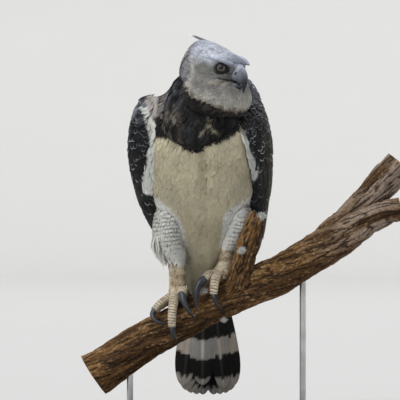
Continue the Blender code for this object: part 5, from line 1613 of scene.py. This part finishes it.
def make_bill(look):
    """The hooked bill with its soft cere, slit nostrils and black tip, and the lower bill."""
    rings, rise, share = bill_rings(BILL_UPPER, 130, 96, 0.22)
    a, s, c = np.moveaxis(rings, -1, 0)
    lean = math.radians(28)  # the nostrils' slope
    ahead, up = a - NOSTRIL_AT[0] + 1, c - NOSTRIL_AT[2]
    across, upright = ahead * math.cos(lean) - up * math.sin(lean), ahead * math.sin(lean) + up * math.cos(lean)
    slit = np.exp(-((across / 1.5) ** 2) - (upright / 4.2) ** 4) * smooth(3, 8, abs(s))
    lip = bell(np.hypot(across / 3.4, upright / 6.6) - 1, 0.28) * smooth(3, 8, abs(s))
    cere = smooth(0.40, 0.35, share + 0.03 * np.cos(rise * math.pi))
    sideways = np.sign(s) * (0.5 * cere + 0.35 * lip * cere - 3.4 * slit)
    edge = bell(rise, 0.10) * smooth(0.25, 0.4, share) * smooth(0.9, 0.7, share)
    rings = rings + joined(0.0, sideways - np.sign(s) * 0.5 * edge, 0.5 * cere * rise)
    grain = noise(joined(a * 0.3, s * 3, c), 2.0, 71)
    # painted highlight: the horn is lighter and bluer along the top of the ridge
    horn = mix((0.125, 0.145, 0.18), (0.235, 0.265, 0.32), bell(rise - 0.98, 0.10) + 0.2 * grain)
    horn = mix(horn, (0.016, 0.017, 0.021), smooth(0.50, 0.86, share + 0.10 * (1 - rise)))
    soft = mix((0.17, 0.185, 0.21), (0.30, 0.33, 0.39), smooth(0.5, 0.95, rise))
    tint = mix(horn, mix(soft, (0.34, 0.35, 0.36), 0.5 * lip), cere)
    # painted shade: near-black inside the nostrils' slits
    tint = mix(tint, (0.005, 0.005, 0.005), smooth(0.25, 0.65, slit))
    made = shells("upper_bill", [shell(in_head(rings * MM), tint)], look, patch=True)
    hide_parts("bill_upper")
    rings, rise, share = bill_rings(BILL_LOWER, 60, 64, -0.15)
    tint = mix((0.16, 0.175, 0.20), (0.035, 0.038, 0.045), smooth(0.35, 0.85, share + 0 * rise))
    made = shells("lower_bill", [shell(in_head(rings * MM), tint)], look, patch=True)
    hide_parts("bill_lower")


def make_gape(look):
    """The mouth's line behind the bill as painted shade: a near-black soft tube on each side of the head."""
    share = np.linspace(0, 1, 40)
    ahead = 47 + 26 * share
    height = mouth_height(ahead)
    bill = np.interp(ahead, (54, 67, 80), (13.6, 12.4, 10.4)) + 0.2
    reach = np.maximum(head_side(ahead, height) - 0.4, bill)
    wide = np.interp(share, (0, 0.12, 0.5, 1), (0.8, 3.2, 2.6, 1.4))[:, None]
    angle, grids = turns(16), []
    for side in (-1, 1):
        axes = unit(np.array((0.45, side, 0.0))), (0, 0, 1.0)
        ring = on_axes(joined(ahead, side * reach, height)[:, None], axes, 1.5 * np.cos(angle), wide * np.sin(angle))
        # near-black: painted shade of the mouth's crease
        grids.append((closed(in_head(ring * MM)), (0.008, 0.008, 0.009)))
    shells("gape", grids, look)


# Feet and claws


def tube_grid(keys, rows, columns, swell):
    """Rings round a smooth line, each point pushed out by the swell at its length along in mm and its angle."""
    found = along(keys, rows)
    line, radii = found[:, :3], found[:, 3:]
    run, angle = run_of(line), turns(columns)
    flat = radii.shape[1] == 2  # a shank's rings lie across the bird and ahead of it
    axes = ((1.0, 0.0, 0.0), (0.0, -1.0, 0.0)) if flat else [axis[:, None] for axis in carried_frames(line)]
    more = swell(run[:, None], angle) * MM
    wide, deep = radii[:, :1] + more, radii[:, -1:] + more
    return on_axes(line[:, None], axes, wide * np.cos(angle), deep * np.sin(angle)), run[:, None], angle


def scutes(run, angle):
    """Broad scales across the top of a toe: a saw wave along it that fades at its sides, with pads underneath."""
    phase = (run + 0.5 * np.sin(angle * 2)) / SCUTE % 1
    plate = np.where(phase < 0.82, 0.35 + 0.65 * np.sin(phase / 0.82 * math.pi), 0.0)
    pads = 1.2 * bell(run % 17 - 8.5, 5.5) * smooth(-0.2, -0.8, np.sin(angle))
    return 1.2 * plate * smooth(0.05, 0.45, np.sin(angle)) + pads


def shank_folds(run, angle):
    """Fine folds across a shank's front, over broad lumps."""
    fold = 0.5 * np.sin(run / 2.1 + 1.5 * np.sin(angle)) * smooth(-0.4, 0.5, np.sin(angle))
    return fold + 0.8 * noise(joined(np.cos(angle), np.sin(angle), run / 12), 0.8, 83)


def keel(run, angle):
    """A claw's section: a little keeled above, flat beneath."""
    return 0.35 * bell(np.sin(angle) - 1, 0.35) - 0.5 * smooth(-0.7, -1.0, np.sin(angle)) + 0 * run


def scaly_tint(grid, run, angle):
    """Pale tan plates with dark seams on top, yellower and finer at the sides."""
    phase = (run + 0.5 * np.sin(angle * 2)) / SCUTE % 1
    top = smooth(0.05, 0.45, np.sin(angle))
    seam = (smooth(0.80, 0.86, phase) + smooth(0.12, 0.04, phase)) * top
    plate = mix((0.30, 0.225, 0.135), (0.62, 0.54, 0.41), top)
    plate = mix(plate, (0.30, 0.215, 0.13), 0.6 * smooth(0.0, 0.8, noise(grid, 0.008, 81)))
    return mix(plate, (0.085, 0.052, 0.03), 0.92 * np.clip(seam, 0, 1))


def make_feet(look):
    """Each foot: a bare scaly shank and four thick toes in one piece."""
    for word, shank in (("right", TARSUS_RIGHT), ("left", TARSUS_LEFT)):
        grid, run, angle = tube_grid(shank, 90, 80, shank_folds)
        tint = mix((0.44, 0.35, 0.24), (0.74, 0.64, 0.48), smooth(-0.3, 0.6, noise(grid, 0.010, 85)))
        tint = mix(tint, (0.20, 0.13, 0.07), 0.7 * smooth(0.1, 0.6, noise(grid, 0.005, 86)))
        grids, nodes = [shell(grid, tint)], ["tarsus_" + word]
        for which in ("middle", "inner", "outer", "hind"):
            nodes.append(f"toe_{word}_{which}")
            grid, run, angle = tube_grid(TOES[nodes[-1]], 110, 48, scutes)
            grids.append(shell(grid, scaly_tint(grid, run, angle)))
        foot = shells("foot_" + word, grids, look, patch=True)
        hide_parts(*nodes)


def make_claws(look):
    """Eight long talons: blue-black, a little keeled above, flat beneath, greyer at the root."""
    for key, keys in CLAWS.items():
        grid, run, angle = tube_grid(keys, 60, 32, keel)
        share = run / run[-1]
        lines = 0.5 + 0.5 * noise(joined(np.cos(angle) * 3, np.sin(angle) * 3, share * 2), 0.7, 91)
        tint = mix((0.050, 0.055, 0.068), (0.016, 0.018, 0.024), smooth(0.0, 0.35, share))
        tint = mix(tint, (0.075, 0.082, 0.10), 0.4 * lines * smooth(0.3, 1.0, np.sin(angle)))
        made = shells(key.replace("claw_", "talon_"), [shell(grid, tint)], look, patch=True)
        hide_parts(key)


# Branch, down and studio


def bark_relief(run, angle, radius, seed):
    """Bark: long fissures that wind a little, flaking plates and fine grain, all noise stretched lengthwise."""
    wound = angle + 0.004 * run
    x, y = np.cos(wound) * radius, np.sin(wound) * radius
    spot = joined(x, y, run * 0.16)
    broad = rough(spot, 16.0, 2, seed)
    fissure = smooth(0.35, 0.95, 1 - abs(rough(spot, 9.5, 3, seed + 3)) * 2.0)
    grain = rough(spot * (1, 1, 3.0), 2.6, 3, seed + 5)
    knots = rough(joined(x, y, run), 26.0, 2, seed + 9)
    return 2.2 * broad - 3.0 * fissure + 0.55 * grain + 1.6 * knots, fissure, grain, broad


def bark_tint(fissure, grain, broad, high, grey):
    """Ochre and umber bark, black in its fissures as painted shade, and grey-pink weathering where asked."""
    colour = mix((0.070, 0.036, 0.014), (0.185, 0.100, 0.036), smooth(-0.5, 0.7, broad + 0.5 * grain))
    # lighter on the grain and, as painted highlight, where the bark stands high
    colour = mix(colour, (0.33, 0.245, 0.145), 0.75 * smooth(0.35, 1.1, grain + 0.4 * high))
    colour = mix(colour, (0.24, 0.185, 0.145), grey * smooth(-0.6, 0.5, broad - 0.3 * grain))
    # painted shade: black in the fissures
    return mix(colour, (0.022, 0.013, 0.008), 0.9 * smooth(0.25, 0.9, fissure))


def cut_face(ring, centre, seed):
    """A sawn end: rings of the last outline drawn in to its middle, with the year rings as their colour."""
    shrink = np.linspace(1, 0.01, 26)[:, None, None]
    grid, share, turn = centre + (ring - centre) * shrink, shrink[..., 0], turns(len(ring))
    years = 0.5 + 0.5 * np.sin(share * 70 + 2.0 * noise(grid, 0.02, seed))
    crack = smooth(0.45, 0.75, noise(joined(np.cos(turn), np.sin(turn), 0.0), 0.12, seed))
    tint = mix((0.30, 0.19, 0.10), (0.47, 0.335, 0.20), years)
    tint = mix(tint, (0.05, 0.03, 0.015), 0.7 * crack * smooth(0.05, 0.4, share))
    return grid, mix(tint, (0.06, 0.035, 0.02), smooth(0.965, 0.99, share))


def torn_face(ring, centre, ahead, seed):
    """A torn end: the last outline drawn in to a splintered hollow 10 mm deep."""
    t = np.linspace(0.93, 0.02, 8)[:, None, None]
    face = centre - ahead * ((1 - t) * 0.010) + (ring - centre) * t
    face = face + ahead * (0.004 * noise(face, 0.004, seed))[..., None]
    return face, mix((0.10, 0.055, 0.028), (0.30, 0.19, 0.10), smooth(-0.3, 0.5, noise(face, 0.004, seed + 2)))


def branch_grid(keys, rows, columns, seed, slim, ragged=0.0):
    """One limb with its bark and colours. Its near end is sawn, and its far end sawn too or, if ragged, torn."""
    found = along(keys, rows)
    line, radius = found[:, :3], found[:, 3:]
    axes = [axis[:, None] for axis in carried_frames(line)]
    angle, place = turns(columns), np.linspace(0, 1, rows)[:, None]
    ridges = 0.045 * np.cos(4 * angle + 5 * place) + 0.03 * np.cos(7 * angle - 9 * place)
    ridges = ridges + 0.035 * np.sin(21 * place + 2 * angle)
    rise, fissure, grain, broad = bark_relief(run_of(line)[:, None], angle, radius / MM, seed)
    reach = radius * (1 + ridges) + (rise - slim) * MM
    grid = on_axes(line[:, None], axes, reach * np.cos(angle), reach * np.sin(angle))
    tint = bark_tint(fissure, grain, broad, rise / 3, 0.0 if ragged else smooth(0.20, 0.36, line[:, :1]))
    start, first = cut_face(grid[0], line[0], seed + 20)
    if ragged:
        splinters = 0.9 * noise(joined(np.cos(angle), np.sin(angle), 0.0), 0.22, seed)
        torn = 0.5 * np.cos(3 * angle + 0.8) + 0.5 * np.cos(5 * angle - 1.1) + splinters
        pull = smooth(0.86, 1.0, place) * ragged * torn * MM
        grid = grid + unit(line[-1] - line[-6]) * pull[..., None]
        tint = mix(tint, (0.33, 0.20, 0.10), 0.6 * smooth(0.90, 1.0, place))
        end, last = torn_face(grid[-1], line[-1], unit(line[-1] - line[-2]), seed)
    else:
        end, last = cut_face(grid[-1], line[-1], seed + 20)
    return np.concatenate([start[::-1], grid, end]), np.concatenate([first[::-1], tint, last])


def make_branch(look):
    """The perch: the leaning branch, its upper fork and the broken snag."""
    main = branch_grid(BRANCH, 336, 144, 101, 1.6)
    fork = branch_grid(FORK, 150, 112, 131, 1.4)
    snag = branch_grid(SNAG, 150, 104, 151, 0.6, SNAG_RAGGED)
    limb = shells("branch", [main, fork, snag], look, patch=True)
    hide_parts("perch_branch")


def make_down(look):
    """Loose down caught on the branch: little clouds of curled threads."""
    groups, count, u = [], DOWN_THREADS, np.linspace(0, 1, 6)
    for middle, spread in DOWN_AT:
        root = np.array(middle) * MM + chance.normal(0, 1, (count, 3)) * (0.34, 0.22, 0.26) * spread * MM
        way = unit(chance.normal(0, 1, (count, 3)) + (0, -0.7, 0.15))
        curl = unit(np.cross(way, chance.normal(0, 1, (count, 3))))
        long = chance.uniform(0.25, 0.62, (count, 1, 1)) * spread * MM
        path = root[:, None] + long * (way[:, None] * u[:, None] + curl[:, None] * (0.7 * u**2)[:, None])
        groups.append((path, np.broadcast_to(unit(np.cross(way, curl))[:, None], path.shape)))
    path, outward = gathered(groups)
    half = np.interp(u, (0, 0.5, 1), (0.16, 0.24, 0.06)) * np.ones((len(path), 1))
    tint = np.broadcast_to(WHITE * (1.12, 1.15, 1.20), (len(path), 3))
    spots = chance.uniform(0, 1, (len(path), 2))
    coat("caught_down", (path, outward, u), half, tint, spots, look, "pale_plumage")


CAMERA_AT = (-0.011, -12.0, 0.471)
LENS = 490.9  # mm, with which the view is 880 mm wide at the bird: 2.2 mm for each of the photograph's pixels
SUNS = (  # name, where it shines from, degrees across, strength, colour
    ("top", (-0.25, -0.42, 1.25), 50, 1.9, (1.0, 0.99, 0.97)),
    ("key", (-0.75, -1.0, 0.75), 25, 1.0, (1.0, 0.975, 0.94)),
    ("rim", (0.7, 0.9, 0.8), 20, 0.8, (0.96, 0.98, 1.0)),
)


def make_studio(floor_look):
    """A pale floor that turns up into a backdrop, soft lights, and the camera at the photograph's angle."""
    t = np.linspace(0, 1, 60)
    bend = np.clip((t - 0.5) / 0.4, 0, 1) * math.pi / 2
    reach = np.where(t < 0.5, 44 * t, 22 + 8 * np.sin(bend))[:, None]
    tall = 8 * (1 - np.cos(bend)) + 20 * np.clip(t - 0.9, 0, 1)
    grid = joined(reach * np.cos(turns(96)), reach * np.sin(turns(96)), tall[:, None])
    mesh = bpy.data.meshes.new("studio_floor")
    mesh.from_pydata(grid.reshape(-1, 3).tolist(), [], strip_faces(1, 60, 96)[0][:, ::-1].tolist())
    mesh.shade_smooth()
    floor = placed("studio_floor", mesh)
    mesh.materials.append(floor_look)
    for name, place, across, strength, colour in SUNS:
        data = bpy.data.lights.new(name, "SUN")
        data.angle, data.energy, data.color = math.radians(across), strength, colour
        lamp = placed(name, data)
        lamp.location = place
        x, y, z = -unit(np.array(place))
        lamp.rotation_euler = (math.atan2(math.hypot(x, y), -z), 0, math.atan2(-x, y))
    world = bpy.data.worlds.new("studio")
    world.use_nodes = True
    sky = world.node_tree.nodes["Background"].inputs
    sky["Color"].default_value, sky["Strength"].default_value = (0.92, 0.95, 1.0, 1), 0.30
    data = bpy.data.cameras.new("camera")
    data.sensor_width, data.lens, data.clip_start, data.clip_end = 36, LENS, 0.1, 100
    camera = placed("camera", data)
    camera.location, camera.rotation_euler = CAMERA_AT, (math.pi / 2, 0, 0)
    scene = bpy.context.scene
    scene.world, scene.camera, scene.view_settings.view_transform = world, camera, "Standard"


def main():
    """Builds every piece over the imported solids."""
    pale = plumage("cream_feathers", contrast=0.10)
    face = plumage("grey_feathers", contrast=0.22)
    dark = plumage("slate_feathers", contrast=0.35, roughness=0.62, sheen=0.05)
    rimmed = plumage("rimmed_coverts", contrast=0.35, roughness=0.6, sheen=0.02, crescents=0.40)
    mantle = plumage("mantle_feathers", contrast=0.35, roughness=0.62, sheen=0.05, crescents=0.78)
    quill = plumage("flight_feathers", contrast=0.30, roughness=0.5, sheen=0.02, bars=3.0)
    barred = plumage("tail_vanes", contrast=0.16, roughness=0.6, sheen=0.05, bars=4.0)
    under = tinted("skin_under_feathers", 0.9, 90.0)
    horn = tinted("bill_horn", 0.45, 45.0, 0.12, 0.10, Specular_IOR_Level=0.3)
    talon = tinted("talon_horn", 0.34, 80.0, 0.2, 0.08, Specular_IOR_Level=0.45)
    mouth = tinted("mouth_crease_shade", 0.45, 120.0)
    lid = tinted("lid_skin", 0.5, 300.0, 0.3, 0.4)
    eye = tinted("wet_eye", 0.2, 60.0, 0.05, 0.0, Specular_IOR_Level=0.25, Coat_Weight=0.35, Coat_Roughness=0.03)
    foot = scales("scaly_feet")
    bark = tinted("fissured_bark", 0.9, 170.0, 0.3, 0.8, 0.0016, (1.0, 1.6, 1.0), Specular_IOR_Level=0.2)

    make_skin(under)
    make_breast(pale)
    make_back(mantle)
    make_shoulders(dark)
    make_collar(dark)
    make_hem(dark)
    make_face(face)
    make_crest(face)
    make_thighs(pale)
    for name, (keys, side, band, brown) in WINGS.items():
        at, marks = wing_at(keys, side), wing_marks(side, band, brown)
        make_coverts(name, at, side, marks, (rimmed, pale))
        make_quills(name, at, side, marks, brown, quill)
    make_tail(barred)
    make_rump(dark)
    make_eyes(eye, lid)
    make_bill(horn)
    make_gape(mouth)
    make_feet(foot)
    make_claws(talon)
    make_branch(bark)
    make_down(pale)
    for name, look in (
        ("stand_base", board_wood("stained_board")),
        ("stand_rod_left", brushed_steel("left_rod_steel")),
        ("stand_rod_right", brushed_steel("right_rod_steel")),
    ):
        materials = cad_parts[name].data.materials
        materials.clear()
        materials.append(look)
    make_studio(plain("studio_paper", (0.64, 0.64, 0.635, 1), (0.62, 0.62, 0.615, 1), 0.9))


main()
